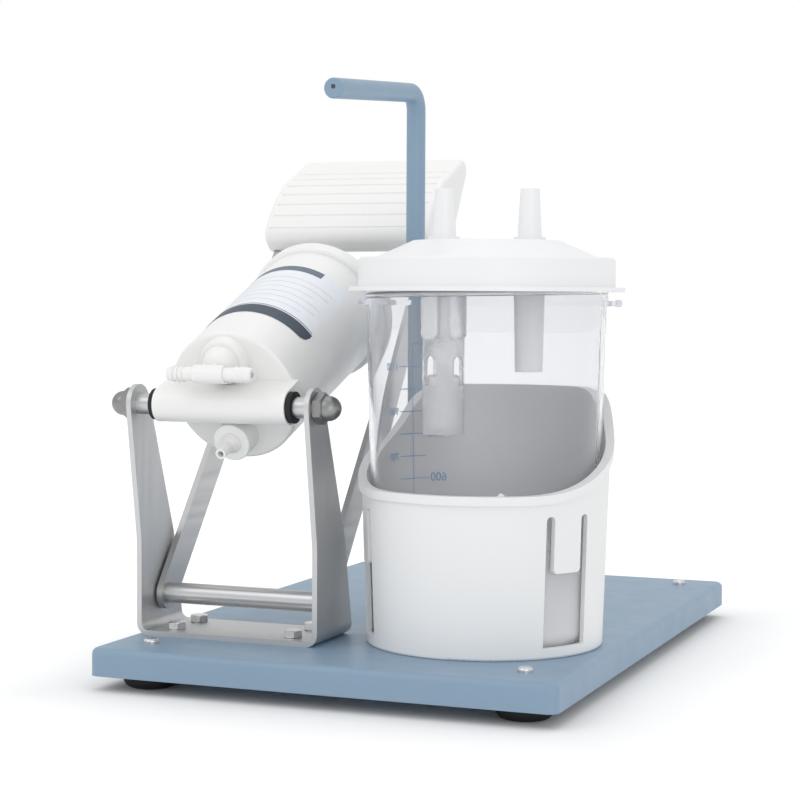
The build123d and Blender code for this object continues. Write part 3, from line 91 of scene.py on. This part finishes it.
# Stage: sky light, glow of the floor beside the part and far from it, and the camera of the photograph
SKY_LEVEL = 0.9
FLOOR_NEAR, FLOOR_FAR = 0.19, 0.08
FLOOR_REACH = 9.0
CAMERA_PLACE = (0.35245, -0.9515, 0.1815)
CAMERA_AZIMUTH, CAMERA_PITCH, CAMERA_ROLL = (math.radians(a) for a in (21.37, -2.957, 0.276))
CAMERA_LENS = 88.69
SENSOR_WIDTH = 36.0


def srgb(r, g, b):
    """Linear colour of an 8-bit screen colour."""
    def channel(c):
        c /= 255.0
        return c / 12.92 if c <= 0.04045 else ((c + 0.055) / 1.055) ** 2.4

    return (channel(r), channel(g), channel(b))


def scaled(colour, share):
    return tuple(c * share for c in colour)


# Shader building blocks


def new_material(name):
    material = bpy.data.materials.new(name)
    material.use_nodes = True
    tree = material.node_tree
    tree.nodes.clear()
    out = tree.nodes.new("ShaderNodeOutputMaterial")
    shader = tree.nodes.new("ShaderNodeBsdfPrincipled")
    tree.links.new(shader.outputs["BSDF"], out.inputs["Surface"])
    return material, tree, shader


def coordinates(tree, scale=(1, 1, 1), rotation=(0, 0, 0)):
    source = tree.nodes.new("ShaderNodeTexCoord")
    mapping = tree.nodes.new("ShaderNodeMapping")
    mapping.inputs["Scale"].default_value = scale
    mapping.inputs["Rotation"].default_value = rotation
    tree.links.new(source.outputs["Object"], mapping.inputs["Vector"])
    return mapping.outputs["Vector"]


def noise(tree, vector, scale, detail=3.0, rough=0.5):
    node = tree.nodes.new("ShaderNodeTexNoise")
    node.inputs["Scale"].default_value = scale
    node.inputs["Detail"].default_value = detail
    node.inputs["Roughness"].default_value = rough
    tree.links.new(vector, node.inputs["Vector"])
    return node.outputs["Fac"]


def spread(tree, value, low, high, from_low=0.3, from_high=0.7):
    node = tree.nodes.new("ShaderNodeMapRange")
    node.inputs["From Min"].default_value = from_low
    node.inputs["From Max"].default_value = from_high
    node.inputs["To Min"].default_value = low
    node.inputs["To Max"].default_value = high
    tree.links.new(value, node.inputs["Value"])
    return node.outputs["Result"]


def tint(tree, value, dark, light):
    node = tree.nodes.new("ShaderNodeMix")
    node.data_type = "RGBA"
    node.inputs[6].default_value = (*dark, 1)
    node.inputs[7].default_value = (*light, 1)
    tree.links.new(value, node.inputs[0])
    return node.outputs[2]


def math_node(tree, operation, first, second):
    """A math node whose inputs are sockets or plain numbers."""
    node = tree.nodes.new("ShaderNodeMath")
    node.operation = operation
    for slot, value in enumerate((first, second)):
        if isinstance(value, (int, float)):
            node.inputs[slot].default_value = value
        else:
            tree.links.new(value, node.inputs[slot])
    return node.outputs[0]


def bump(tree, shader, height, strength, distance):
    node = tree.nodes.new("ShaderNodeBump")
    node.inputs["Strength"].default_value = strength
    node.inputs["Distance"].default_value = distance
    tree.links.new(height, node.inputs["Height"])
    tree.links.new(node.outputs["Normal"], shader.inputs["Normal"])


# Materials


def let_light_through(tree, shader, colour):
    """Shadow rays pass the surface, thinned to this colour."""
    out = next(n for n in tree.nodes if n.type == "OUTPUT_MATERIAL")
    path = tree.nodes.new("ShaderNodeLightPath")
    through = tree.nodes.new("ShaderNodeBsdfTransparent")
    through.inputs["Color"].default_value = (*colour, 1)
    mixed = tree.nodes.new("ShaderNodeMixShader")
    tree.links.new(path.outputs["Is Shadow Ray"], mixed.inputs[0])
    tree.links.new(shader.outputs["BSDF"], mixed.inputs[1])
    tree.links.new(through.outputs["BSDF"], mixed.inputs[2])
    tree.links.new(mixed.outputs[0], out.inputs["Surface"])


def plastic(name, colour, rough=(0.3, 0.42), grain=0.02, coat=0.0, seed=(0, 0, 0), thin=0.0):
    """Moulded plastic: faint mottling, uneven gloss and the fine texture of the mould.

    thin is the share of light that each of its faces lets through, for a translucent wall.
    """
    material, tree, shader = new_material(name)
    vector = coordinates(tree, rotation=seed)
    wide = noise(tree, vector, 22.0, 2.0)
    fine = noise(tree, vector, 900.0, 2.0)
    tree.links.new(tint(tree, wide, scaled(colour, 0.975), colour), shader.inputs["Base Color"])
    tree.links.new(spread(tree, noise(tree, vector, 60.0, 4.0), *rough), shader.inputs["Roughness"])
    shader.inputs["Coat Weight"].default_value = coat
    shader.inputs["Coat Roughness"].default_value = 0.12
    bump(tree, shader, fine, grain, 0.0002)
    if thin:
        let_light_through(tree, shader, scaled(colour, thin))
    return material


def paint(name, colour):
    """Baked enamel on steel: orange peel, slight clouding, a satin top layer."""
    material, tree, shader = new_material(name)
    vector = coordinates(tree)
    cloud = noise(tree, vector, 14.0, 3.0)
    peel = noise(tree, vector, 420.0, 2.0, 0.4)
    tree.links.new(tint(tree, cloud, scaled(colour, 0.96), scaled(colour, 1.03)), shader.inputs["Base Color"])
    tree.links.new(spread(tree, noise(tree, vector, 90.0), 0.42, 0.52), shader.inputs["Roughness"])
    shader.inputs["Coat Weight"].default_value = 0.08
    shader.inputs["Coat Roughness"].default_value = 0.22
    bump(tree, shader, peel, 0.05, 0.0003)
    return material


def metal(name, colour, rough, stretch, grain=0.05, scale=260.0, turn=(0, 0, 0), anisotropy=0.0):
    """Steel with brush lines that run where stretch is small."""
    material, tree, shader = new_material(name)
    vector = coordinates(tree, scale=stretch, rotation=turn)
    lines = noise(tree, vector, scale, 4.0, 0.65)
    cloud = noise(tree, coordinates(tree), 18.0, 3.0)
    shader.inputs["Metallic"].default_value = 1.0
    shader.inputs["Anisotropic"].default_value = anisotropy
    tree.links.new(tint(tree, cloud, scaled(colour, 0.93), colour), shader.inputs["Base Color"])
    tree.links.new(spread(tree, lines, *rough), shader.inputs["Roughness"])
    bump(tree, shader, lines, grain, 0.0002)
    return material


def rubber(name, colour):
    """Moulded rubber with a little dust in its texture."""
    material, tree, shader = new_material(name)
    vector = coordinates(tree)
    dust = noise(tree, vector, 45.0, 5.0, 0.6)
    tree.links.new(tint(tree, dust, colour, scaled(colour, 1.7)), shader.inputs["Base Color"])
    tree.links.new(spread(tree, dust, 0.55, 0.8), shader.inputs["Roughness"])
    shader.inputs["Specular IOR Level"].default_value = 0.35
    bump(tree, shader, noise(tree, vector, 700.0), 0.12, 0.0002)
    return material


def printed(name, colour, rough=0.45, grain=0.03):
    """Printed ink or film: even colour with a slight unevenness of its coverage."""
    material, tree, shader = new_material(name)
    vector = coordinates(tree)
    cover = noise(tree, vector, 240.0, 3.0)
    tree.links.new(tint(tree, cover, scaled(colour, 0.95), scaled(colour, 1.04)), shader.inputs["Base Color"])
    tree.links.new(spread(tree, cover, rough - 0.05, rough + 0.05), shader.inputs["Roughness"])
    bump(tree, shader, cover, grain, 0.0001)
    return material


CLOUDY_BASE = 0.45
CLOUD_HEIGHT = 75 * MM


def clear(name, colour, ior, rough, shade, milk=0.0, haze=None, wave=0.02, cloudy_base=False):
    """Clear plastic that shadow rays pass through, thinned a little, as light does through a thin wall.

    milk is the share of the light that the plastic scatters, and haze the colour and density
    that tint it where the eye looks through a long stretch of it, as at a rim. A cloudy base
    scatters more towards the floor of the jar, where the plastic is thick.
    """
    material, tree, shader = new_material(name)
    vector = coordinates(tree)
    shader.inputs["Transmission Weight"].default_value = 1.0 - milk
    if cloudy_base:
        level = tree.nodes.new("ShaderNodeSeparateXYZ")
        tree.links.new(vector, level.inputs[0])
        top = jar_floor + CLOUD_HEIGHT
        clearness = spread(tree, level.outputs["Z"], CLOUDY_BASE, 1.0 - milk, jar_floor, top)
        tree.links.new(clearness, shader.inputs["Transmission Weight"])
    shader.inputs["IOR"].default_value = ior
    soft = noise(tree, vector, 9.0, 2.0)
    tree.links.new(tint(tree, soft, scaled(colour, 0.985), colour), shader.inputs["Base Color"])
    tree.links.new(spread(tree, noise(tree, vector, 35.0), *rough), shader.inputs["Roughness"])
    bump(tree, shader, noise(tree, vector, 26.0, 2.0), wave, 0.0006)
    let_light_through(tree, shader, scaled(colour, 1 - shade))
    if haze:
        depth = tree.nodes.new("ShaderNodeVolumeAbsorption")
        depth.inputs["Color"].default_value = (*haze[0], 1)
        depth.inputs["Density"].default_value = haze[1]
        out = next(n for n in tree.nodes if n.type == "OUTPUT_MATERIAL")
        tree.links.new(depth.outputs["Volume"], out.inputs["Volume"])
    return material


enamel = paint("blue_enamel", srgb(132, 157, 179))
white_fittings = plastic("fitting_plastic", (0.87, 0.87, 0.855), (0.28, 0.4), 0.015, coat=0.1)
white_pump = plastic("pump_plastic", (0.87, 0.87, 0.855), (0.3, 0.42), 0.015, coat=0.1, seed=(0.4, 0, 0))
white_pedal = plastic("pedal_plastic", (0.88, 0.88, 0.865), (0.38, 0.5), 0.03, seed=(0, 0.6, 0))
white_holder = plastic("holder_plastic", (0.85, 0.855, 0.855), (0.4, 0.52), 0.03, seed=(0, 0, 0.7), thin=0.65)
white_lid = plastic("lid_plastic", (0.865, 0.87, 0.875), (0.3, 0.42), 0.0, seed=(0.2, 0.3, 0), thin=0.6)
bearing = plastic("bearing_plastic", (0.78, 0.78, 0.76), (0.35, 0.5), 0.02)
strip_steel = metal("strip_steel", (0.64, 0.64, 0.642), (0.44, 0.54), (1.0, 1.0, 0.06), 0.04)
bar_steel = metal(
    "bar_steel", (0.54, 0.54, 0.542), (0.34, 0.46), (1.0, 0.06, 1.0), 0.04, turn=(LEVER_ANGLE, 0, 0)
)
turned_steel = metal("turned_steel", (0.6, 0.605, 0.61), (0.3, 0.42), (0.05, 1.0, 1.0), 0.03, anisotropy=0.4)
bright_steel = metal("bright_steel", (0.3, 0.3, 0.302), (0.3, 0.4), (1.0, 1.0, 1.0), 0.015, scale=120.0)
zinc = metal("zinc_steel", (0.72, 0.72, 0.715), (0.24, 0.38), (1.0, 1.0, 1.0), 0.04, scale=180.0)
brass = metal("brass", (0.72, 0.52, 0.25), (0.2, 0.35), (0.05, 1.0, 1.0), 0.03)
black = rubber("black_rubber", (0.012, 0.012, 0.013))
pale_rubber = rubber("pale_rubber", (0.45, 0.46, 0.46))
jar_haze = ((0.6, 0.63, 0.88), 8.0)
jar_clear = clear("jar_clear", (0.955, 0.958, 0.967), 1.18, (0.0, 0.02), 0.0, 0.07, jar_haze, 0.0, True)
rim_clear = clear("rim_clear", (0.9, 0.905, 0.945), 1.1, (0.12, 0.24), 0.05, 0.45, None, 0.0)
cage_clear = clear("cage_clear", (0.93, 0.94, 0.95), 1.12, (0.2, 0.32), 0.1, 0.3, None, 0.0)
tube_milk = clear("tube_milk", (0.9, 0.91, 0.925), 1.3, (0.3, 0.42), 0.35, 0.85, None, 0.0)
label_white = printed("label_film", srgb(236, 239, 244))
label_slate = printed("label_slate", srgb(56, 70, 86))
label_grey = printed("label_grey", srgb(98, 112, 126))
label_rule = printed("label_rule", srgb(190, 196, 205))
scale_blue = printed("scale_ink", srgb(70, 160, 225))

LOOKS = {
    enamel: ["base_plate", "carry_handle"],
    black: ["rubber_feet", "axle_bushes", "front_cap_seal", "inlet_flap", "outlet_flap", "piston_cup"],
    pale_rubber: ["lid_seal"],
    zinc: [
        "foot_screws", "foot_nuts", "bracket_bolts", "bracket_washers", "bracket_nuts", "holder_screws",
        "holder_nuts", "handle_nut", "return_spring", "piston_nut",
    ],
    strip_steel: ["pivot_bracket"],
    bar_steel: ["lever_arm_left", "lever_arm_right"],
    turned_steel: ["lever_cross_tube", "axle_spacers", "rod_pin_spacers", "rod_cross_pin", "lower_pivot_pin"],
    bright_steel: ["upper_axle", "axle_nuts", "rod_pin_nuts", "piston_rod"],
    brass: ["pedal_pin"],
    white_pump: ["pump_barrel", "front_cap", "rear_cap"],
    white_fittings: ["inlet_valve_housing", "outlet_valve_housing", "tee_connector", "exhaust_nozzle"],
    white_pedal: ["pedal_shell"],
    white_lid: ["lid_shell"],
    white_holder: ["jar_holder"],
    bearing: ["rod_guide_bush", "piston_head", "float_body"],
    jar_clear: ["jar_body"],
    cage_clear: ["float_cage", "cage_cap"],
    tube_milk: ["drop_tube"],
}
for look, names in LOOKS.items():
    for name in names:
        mesh = nodes[name].data
        mesh.materials.clear()
        mesh.materials.append(look)


# Mesh building blocks


def link(obj):
    bpy.context.scene.collection.objects.link(obj)
    return obj


def mesh_object(name, verts, faces, look, smooth=True):
    mesh = bpy.data.meshes.new(name)
    mesh.from_pydata(verts, [], faces)
    mesh.update()
    mesh.materials.append(look)
    for polygon in mesh.polygons:
        polygon.use_smooth = smooth
    return link(bpy.data.objects.new(name, mesh))


def tube_faces(sections, points):
    """Quads between closed sections of a swept form, and a cap at each end."""
    faces = []
    for i in range(sections - 1):
        for j in range(points):
            k = (j + 1) % points
            faces.append((i * points + j, i * points + k, (i + 1) * points + k, (i + 1) * points + j))
    faces.append(tuple(reversed(range(points))))
    faces.append(tuple((sections - 1) * points + j for j in range(points)))
    return faces


def span_along(node):
    """Nearest and furthest reach of a solid along the pump axis, and its greatest radius about it."""
    stations = []
    radii = []
    for vertex in nodes[node].data.vertices:
        offset = vertex.co - axle
        station = offset.dot(along)
        stations.append(station)
        radii.append((offset - along * station).length)
    return min(stations), max(stations), max(radii)


# Label on the barrel: a white film with a slate band, a grey band and blank ruled lines

BARREL_START, BARREL_END = 14.5 * MM, 113.0 * MM
BARREL_FRONT_RADIUS, BARREL_REAR_RADIUS = 32.3 * MM, 34.0 * MM
LABEL_FROM, LABEL_TO = math.radians(-84), math.radians(60)
LABEL_START, LABEL_END = 36.5 * MM, 94.5 * MM
LABEL_CORNER = 6.0 * MM
SLATE_END = 45.5 * MM
FINE_LINE = (46.3 * MM, 46.9 * MM)
GREY_BAND = 89.0 * MM
GREY_TO = math.radians(31)
RULE_COUNT = 6
RULE_START, RULE_STEP, RULE_WIDTH = 52.5 * MM, 5.6 * MM, 0.35 * MM
RULE_FROM, RULE_TO, RULE_SHORT_TO = math.radians(-50), math.radians(50), math.radians(38)
FILM = 0.12 * MM
INK = 0.05 * MM


def on_barrel(station, turn, lift):
    """Point on the barrel: station from the axle, turn from the top towards +X, lift off the wall."""
    share = (station - BARREL_START) / (BARREL_END - BARREL_START)
    radius = BARREL_FRONT_RADIUS + (BARREL_REAR_RADIUS - BARREL_FRONT_RADIUS) * share + lift
    outward = across * math.cos(turn) + Vector((1, 0, 0)) * math.sin(turn)
    return axle + along * station + outward * radius


def label_patch(name, start, end, turn_from, turn_to, lift, look, low_corner=0.0, high_corner=0.0):
    """A band of the label between two stations, with rounded corners at its turn_to end."""
    columns = 96
    rows = 4
    verts = []
    for i in range(columns + 1):
        turn = turn_from + (turn_to - turn_from) * i / columns
        to_edge = (turn_to - turn) * BARREL_REAR_RADIUS
        trims = []
        for corner in (low_corner, high_corner):
            short = max(0.0, corner - to_edge)
            trims.append(corner - math.sqrt(max(0.0, corner ** 2 - short ** 2)) if corner else 0.0)
        low, high = start + trims[0], end - trims[1]
        for j in range(rows + 1):
            verts.append(on_barrel(low + (high - low) * j / rows, turn, lift))
    faces = []
    for i in range(columns):
        for j in range(rows):
            a = i * (rows + 1) + j
            faces.append((a, a + rows + 1, a + rows + 2, a + 1))
    return mesh_object(name, verts, faces, look)


def barrel_label():
    edge = math.radians(1.5)
    pieces = [
        label_patch("label_film", LABEL_START, LABEL_END, LABEL_FROM, LABEL_TO, FILM, label_white,
                    LABEL_CORNER, LABEL_CORNER / 3),
        label_patch("label_slate_band", LABEL_START, SLATE_END, LABEL_FROM, LABEL_TO, FILM + INK, label_slate,
                    LABEL_CORNER),
        label_patch("label_fine_line", *FINE_LINE, LABEL_FROM, LABEL_TO - edge, FILM + INK, label_grey),
        label_patch("label_grey_band", GREY_BAND, LABEL_END, LABEL_FROM, GREY_TO, FILM + INK, label_grey),
    ]
    for row in range(RULE_COUNT):
        station = RULE_START + RULE_STEP * row
        rule_to = RULE_TO if row % 3 else RULE_SHORT_TO
        pieces.append(
            label_patch("label_rule_%d" % (row + 1), station, station + RULE_WIDTH, RULE_FROM, rule_to,
                        FILM + INK, label_rule)
        )
    for piece in pieces:
        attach(piece, "pump")


# Volume scale printed on the jar's wall, to be read from behind

JAR_BASE_RADIUS, JAR_TOP_RADIUS = 52.3 * MM, 56.2 * MM
JAR_WALL_HEIGHT = 155.1 * MM
SCALE_BEARING = 150.2
SCALE_FIRST = 14.9 * MM
SCALE_STEP = 11.0 * MM
SCALE_COUNT = 12
SCALE_INK = 0.06 * MM


def jar_radius(height):
    return JAR_BASE_RADIUS + (JAR_TOP_RADIUS - JAR_BASE_RADIUS) * height / JAR_WALL_HEIGHT


def on_jar(arc, height):
    """Point on the jar's outside: arc to the reader's right of the scale's line, height over its base."""
    radius = jar_radius(height)
    bearing = math.radians(SCALE_BEARING) + arc / radius
    reach = radius + SCALE_INK
    return Vector((jar_axis.x + reach * math.cos(bearing), jar_axis.y + reach * math.sin(bearing),
                   jar_floor + height))


def scale_bar(name, arc_from, arc_to, low, high):
    """A printed bar, split along its length so that it follows the wall."""
    steps = max(1, round((arc_to - arc_from) / (1.0 * MM)))
    verts = []
    for i in range(steps + 1):
        arc = arc_from + (arc_to - arc_from) * i / steps
        verts += [on_jar(arc, low), on_jar(arc, high)]
    faces = [(2 * i, 2 * i + 2, 2 * i + 3, 2 * i + 1) for i in range(steps)]
    return mesh_object(name, verts, faces, scale_blue)


def scale_number(value, arc, height, size, ends_there):
    """A plain number on the scale, with its near end at arc."""
    text = bpy.data.curves.new("number_%d" % value, "FONT")
    text.body = str(value)
    text.size = size
    text.align_x = "RIGHT" if ends_there else "LEFT"
    text.align_y = "CENTER"
    text.offset = 0.02 * size
    writer = link(bpy.data.objects.new("writer_%d" % value, text))
    shape = bpy.data.meshes.new_from_object(writer.evaluated_get(bpy.context.evaluated_depsgraph_get()))
    bpy.data.objects.remove(writer)
    for vertex in shape.vertices:
        vertex.co = on_jar(arc + vertex.co.x, height + vertex.co.y)
    shape.materials.clear()
    shape.materials.append(scale_blue)
    return link(bpy.data.objects.new("scale_%d" % value, shape))


def jar_scale():
    line = 0.45 * MM
    top = SCALE_FIRST + SCALE_STEP * (SCALE_COUNT - 1)
    pieces = [scale_bar("scale_line", -line / 2, line / 2, SCALE_FIRST - 4 * MM, top + line / 2)]
    for count in range(1, SCALE_COUNT + 1):
        height = SCALE_FIRST + SCALE_STEP * (count - 1)
        even = count % 2 == 0
        left = -9.5 * MM if count == 6 else -8.0 * MM
        right = 0.0 if count == SCALE_COUNT else 9.0 * MM
        pieces.append(scale_bar("scale_tick_%d" % count, left, right, height - line / 2, height + line / 2))
        if even:
            pieces.append(scale_number(count * 100, left - 0.8 * MM, height, 6.0 * MM, True))
        else:
            pieces.append(scale_number(count * 100, right + 1.2 * MM, height, 5.0 * MM, False))
    for piece in pieces:
        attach(piece, "jar")


# Thread on the jar's neck, and the lug on its stop ring

NECK_RADIUS = 56.8 * MM
NECK_HEIGHT = 16.3 * MM
THREAD_PITCH = 6.0 * MM
THREAD_DEPTH = 1.3 * MM
THREAD_TURNS = 1.6
THREAD_LIFT = 1.9 * MM
THREAD_START_BEARING = -150.0


def neck_thread():
    steps = 200
    root, foot, crest = -0.4 * MM, 1.3 * MM, 0.55 * MM
    profile = ((root, -foot), (THREAD_DEPTH, -crest), (THREAD_DEPTH, crest), (root, foot))
    low = jar_mouth - NECK_HEIGHT + THREAD_LIFT
    verts = []
    for i in range(steps + 1):
        share = i / steps
        fade = min(1.0, 12 * share, 12 * (1 - share))
        bearing = math.radians(THREAD_START_BEARING) + share * THREAD_TURNS * math.tau
        height = low + share * THREAD_TURNS * THREAD_PITCH
        for reach, rise in profile:
            radius = NECK_RADIUS + (reach * fade if reach > 0 else reach)
            x = jar_axis.x + radius * math.cos(bearing)
            y = jar_axis.y + radius * math.sin(bearing)
            verts.append(Vector((x, y, height + rise)))
    thread = mesh_object("neck_thread", verts, tube_faces(steps + 1, len(profile)), rim_clear)
    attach(thread, "jar")


def ring_lug():
    """Small stop at the right of the ring, with rounded corners."""
    bearing = math.radians(20.0)
    outward = Vector((math.cos(bearing), math.sin(bearing), 0))
    sideways = Vector((-math.sin(bearing), math.cos(bearing), 0))
    middle = Vector((jar_axis.x, jar_axis.y, jar_mouth - NECK_HEIGHT - 1.2 * MM))
    verts = []
    for reach, shrink in ((60.3 * MM, 0.0), (62.9 * MM, 0.0), (63.3 * MM, 0.4 * MM)):
        for side, rise in ((-1.6, -1.2), (-1.2, -1.6), (1.2, -1.6), (1.6, -1.2),
                           (1.6, 1.2), (1.2, 1.6), (-1.2, 1.6), (-1.6, 1.2)):
            spot = Vector((side * MM, rise * MM))
            spot -= spot.normalized() * shrink
            verts.append(middle + outward * reach + sideways * spot.x + Vector((0, 0, spot.y)))
    lug = mesh_object("ring_lug", verts, tube_faces(3, 8), rim_clear, False)
    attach(lug, "jar")


# Return spring between the piston and the rear cap


def spring():
    near, far, outside = span_along("return_spring")
    wire = 1.2 * MM
    turns = 6.5
    steps = 300
    points = 10
    coil_radius = outside - wire
    verts = []
    for i in range(steps + 1):
        share = i / steps
        turn = share * turns * math.tau
        radial = across * math.cos(turn) + Vector((1, 0, 0)) * math.sin(turn)
        centre = axle + along * (near + wire + (far - near - 2 * wire) * share) + radial * coil_radius
        for j in range(points):
            lean = j * math.tau / points
            verts.append(centre + radial * wire * math.cos(lean) + along * wire * math.sin(lean))
    piece = mesh_object("spring_coil", verts, tube_faces(steps + 1, points), zinc)
    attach(piece, "pump")
    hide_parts("return_spring")
    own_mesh(piece)


# Centre mark left by turning on the end of the handle: painted shade, a dark disc with a low ring that stands
# in for the shade inside the centre's dimple


def handle_mark():
    end_depth = 1.2 * MM
    facing = Vector((0, -math.cos(HANDLE_DROOP), -math.sin(HANDLE_DROOP)))
    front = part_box("carry_handle")[0].y
    end = [v.co for v in nodes["carry_handle"].data.vertices if v.co.y < front + end_depth]
    face = sum(end, Vector()) / len(end)
    reach = max((v - face).dot(facing) for v in end)
    centre = face + facing * (reach + 0.03 * MM)
    downward = Vector((0, math.sin(HANDLE_DROOP), -math.cos(HANDLE_DROOP)))
    sideways = Vector((1, 0, 0))
    verts = [centre]
    rings = ((0.35 * MM, 0.0), (0.8 * MM, 0.06 * MM), (1.1 * MM, 0.0))
    sides = 24
    for radius, lift in rings:
        for j in range(sides):
            turn = j * math.tau / sides
            outward = sideways * math.cos(turn) + downward * math.sin(turn)
            verts.append(centre + facing * lift + outward * radius)
    faces = [(0, 1 + j, 1 + (j + 1) % sides) for j in range(sides)]
    for ring in range(len(rings) - 1):
        for j in range(sides):
            a, b = 1 + ring * sides + j, 1 + ring * sides + (j + 1) % sides
            faces.append((a, a + sides, b + sides, b))
    # The dark slate colour is painted shade for the dimple of the centre mark, not a dark finish of the steel
    mark = mesh_object("handle_centre_painted_shade", verts, faces, label_slate)
    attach(mark, "base")


barrel_label()
jar_scale()
neck_thread()
ring_lug()
spring()
handle_mark()


# Stage, light and camera


def seen_by_eye(tree, with_glossy=True):
    """1 for rays that the camera, a mirror or a clear wall sends, 0 for the rest."""
    path = tree.nodes.new("ShaderNodeLightPath")
    seen = math_node(tree, "MAXIMUM", path.outputs["Is Camera Ray"], path.outputs["Is Transmission Ray"])
    if with_glossy:
        seen = math_node(tree, "MAXIMUM", seen, path.outputs["Is Glossy Ray"])
    return seen


def backdrop():
    """White floor that keeps the object's shadow and brightens to plain white away from it."""
    r = FLOOR_REACH
    corners = [(-r, -r, 0), (r, -r, 0), (r, r, 0), (-r, r, 0)]
    floor = mesh_object("floor", corners, [(0, 1, 2, 3)], None, False)
    material = bpy.data.materials.new("floor_white")
    material.use_nodes = True
    tree = material.node_tree
    tree.nodes.clear()
    out = tree.nodes.new("ShaderNodeOutputMaterial")
    diffuse = tree.nodes.new("ShaderNodeBsdfDiffuse")
    place = coordinates(tree)
    tone = tint(tree, noise(tree, place, 3.0), (0.90, 0.90, 0.90), (0.92, 0.92, 0.92))
    tree.links.new(tone, diffuse.inputs["Color"])
    parts = tree.nodes.new("ShaderNodeSeparateXYZ")
    tree.links.new(place, parts.inputs[0])
    beyond = []
    for axis in "XY":
        reach = math_node(tree, "ABSOLUTE", parts.outputs[axis], 0.0)
        beyond.append(math_node(tree, "SUBTRACT", reach, getattr(cad_high, axis.lower())))
    distance = math_node(tree, "MAXIMUM", *beyond)
    near = spread(tree, distance, 0.0, FLOOR_NEAR, -0.02, 0.08)
    far = spread(tree, distance, 0.0, FLOOR_FAR, 0.1, 1.2)
    level = math_node(tree, "ADD", near, far)
    glow = tree.nodes.new("ShaderNodeEmission")
    tree.links.new(math_node(tree, "MULTIPLY", seen_by_eye(tree), level), glow.inputs["Strength"])
    both = tree.nodes.new("ShaderNodeAddShader")
    tree.links.new(diffuse.outputs[0], both.inputs[0])
    tree.links.new(glow.outputs[0], both.inputs[1])
    tree.links.new(both.outputs[0], out.inputs["Surface"])
    floor.data.materials.clear()
    floor.data.materials.append(material)


def world(level):
    """Even sky light, which the camera sees as plain white."""
    scene_world = bpy.data.worlds.new("studio")
    bpy.context.scene.world = scene_world
    scene_world.use_nodes = True
    tree = scene_world.node_tree
    tree.nodes.clear()
    out = tree.nodes.new("ShaderNodeOutputWorld")
    lit = tree.nodes.new("ShaderNodeBackground")
    lit.inputs["Color"].default_value = (0.975, 0.98, 0.985, 1)
    lit.inputs["Strength"].default_value = level
    plain = tree.nodes.new("ShaderNodeBackground")
    plain.inputs["Color"].default_value = (1, 1, 1, 1)
    plain.inputs["Strength"].default_value = 1.0
    mixed = tree.nodes.new("ShaderNodeMixShader")
    tree.links.new(seen_by_eye(tree, False), mixed.inputs[0])
    tree.links.new(lit.outputs[0], mixed.inputs[1])
    tree.links.new(plain.outputs[0], mixed.inputs[2])
    tree.links.new(mixed.outputs[0], out.inputs["Surface"])


def area(name, place, aim, size, power):
    data = bpy.data.lights.new(name, "AREA")
    data.shape = "RECTANGLE"
    data.size, data.size_y = size
    data.energy = power
    lamp = link(bpy.data.objects.new(name, data))
    lamp.location = place
    lamp.rotation_mode = "QUATERNION"
    lamp.rotation_quaternion = (Vector(aim) - Vector(place)).to_track_quat("-Z", "Y")


def look_from(place, azimuth, pitch, roll, lens):
    """Camera at the photograph's viewpoint: azimuth turns left from +Y, pitch is up from level."""
    level_forward = Vector((-math.sin(azimuth), math.cos(azimuth), 0))
    forward = level_forward * math.cos(pitch) + Vector((0, 0, math.sin(pitch)))
    level_right = forward.cross(Vector((0, 0, 1))).normalized()
    level_up = level_right.cross(forward)
    right = level_right * math.cos(roll) + level_up * math.sin(roll)
    up = level_up * math.cos(roll) - level_right * math.sin(roll)
    data = bpy.data.cameras.new("camera")
    data.lens = lens
    data.sensor_width = SENSOR_WIDTH
    data.clip_start, data.clip_end = 0.05, 40.0
    camera = link(bpy.data.objects.new("camera", data))
    turn = Matrix((right, up, -forward)).transposed().to_4x4()
    camera.matrix_world = Matrix.Translation(place) @ turn
    bpy.context.scene.camera = camera


backdrop()
world(SKY_LEVEL)
area("key", (-0.75, -1.15, 1.25), (0, -0.05, 0.1), (0.9, 0.9), 2.5)
area("fill", (0.9, -1.3, 0.35), (0, -0.05, 0.12), (0.9, 0.9), 2.5)
area("top", (0.05, 0.25, 1.6), (0, 0, 0.1), (1.1, 1.1), 3)
look_from(CAMERA_PLACE, CAMERA_AZIMUTH, CAMERA_PITCH, CAMERA_ROLL, CAMERA_LENS)
bpy.context.scene.view_settings.view_transform = "Standard"
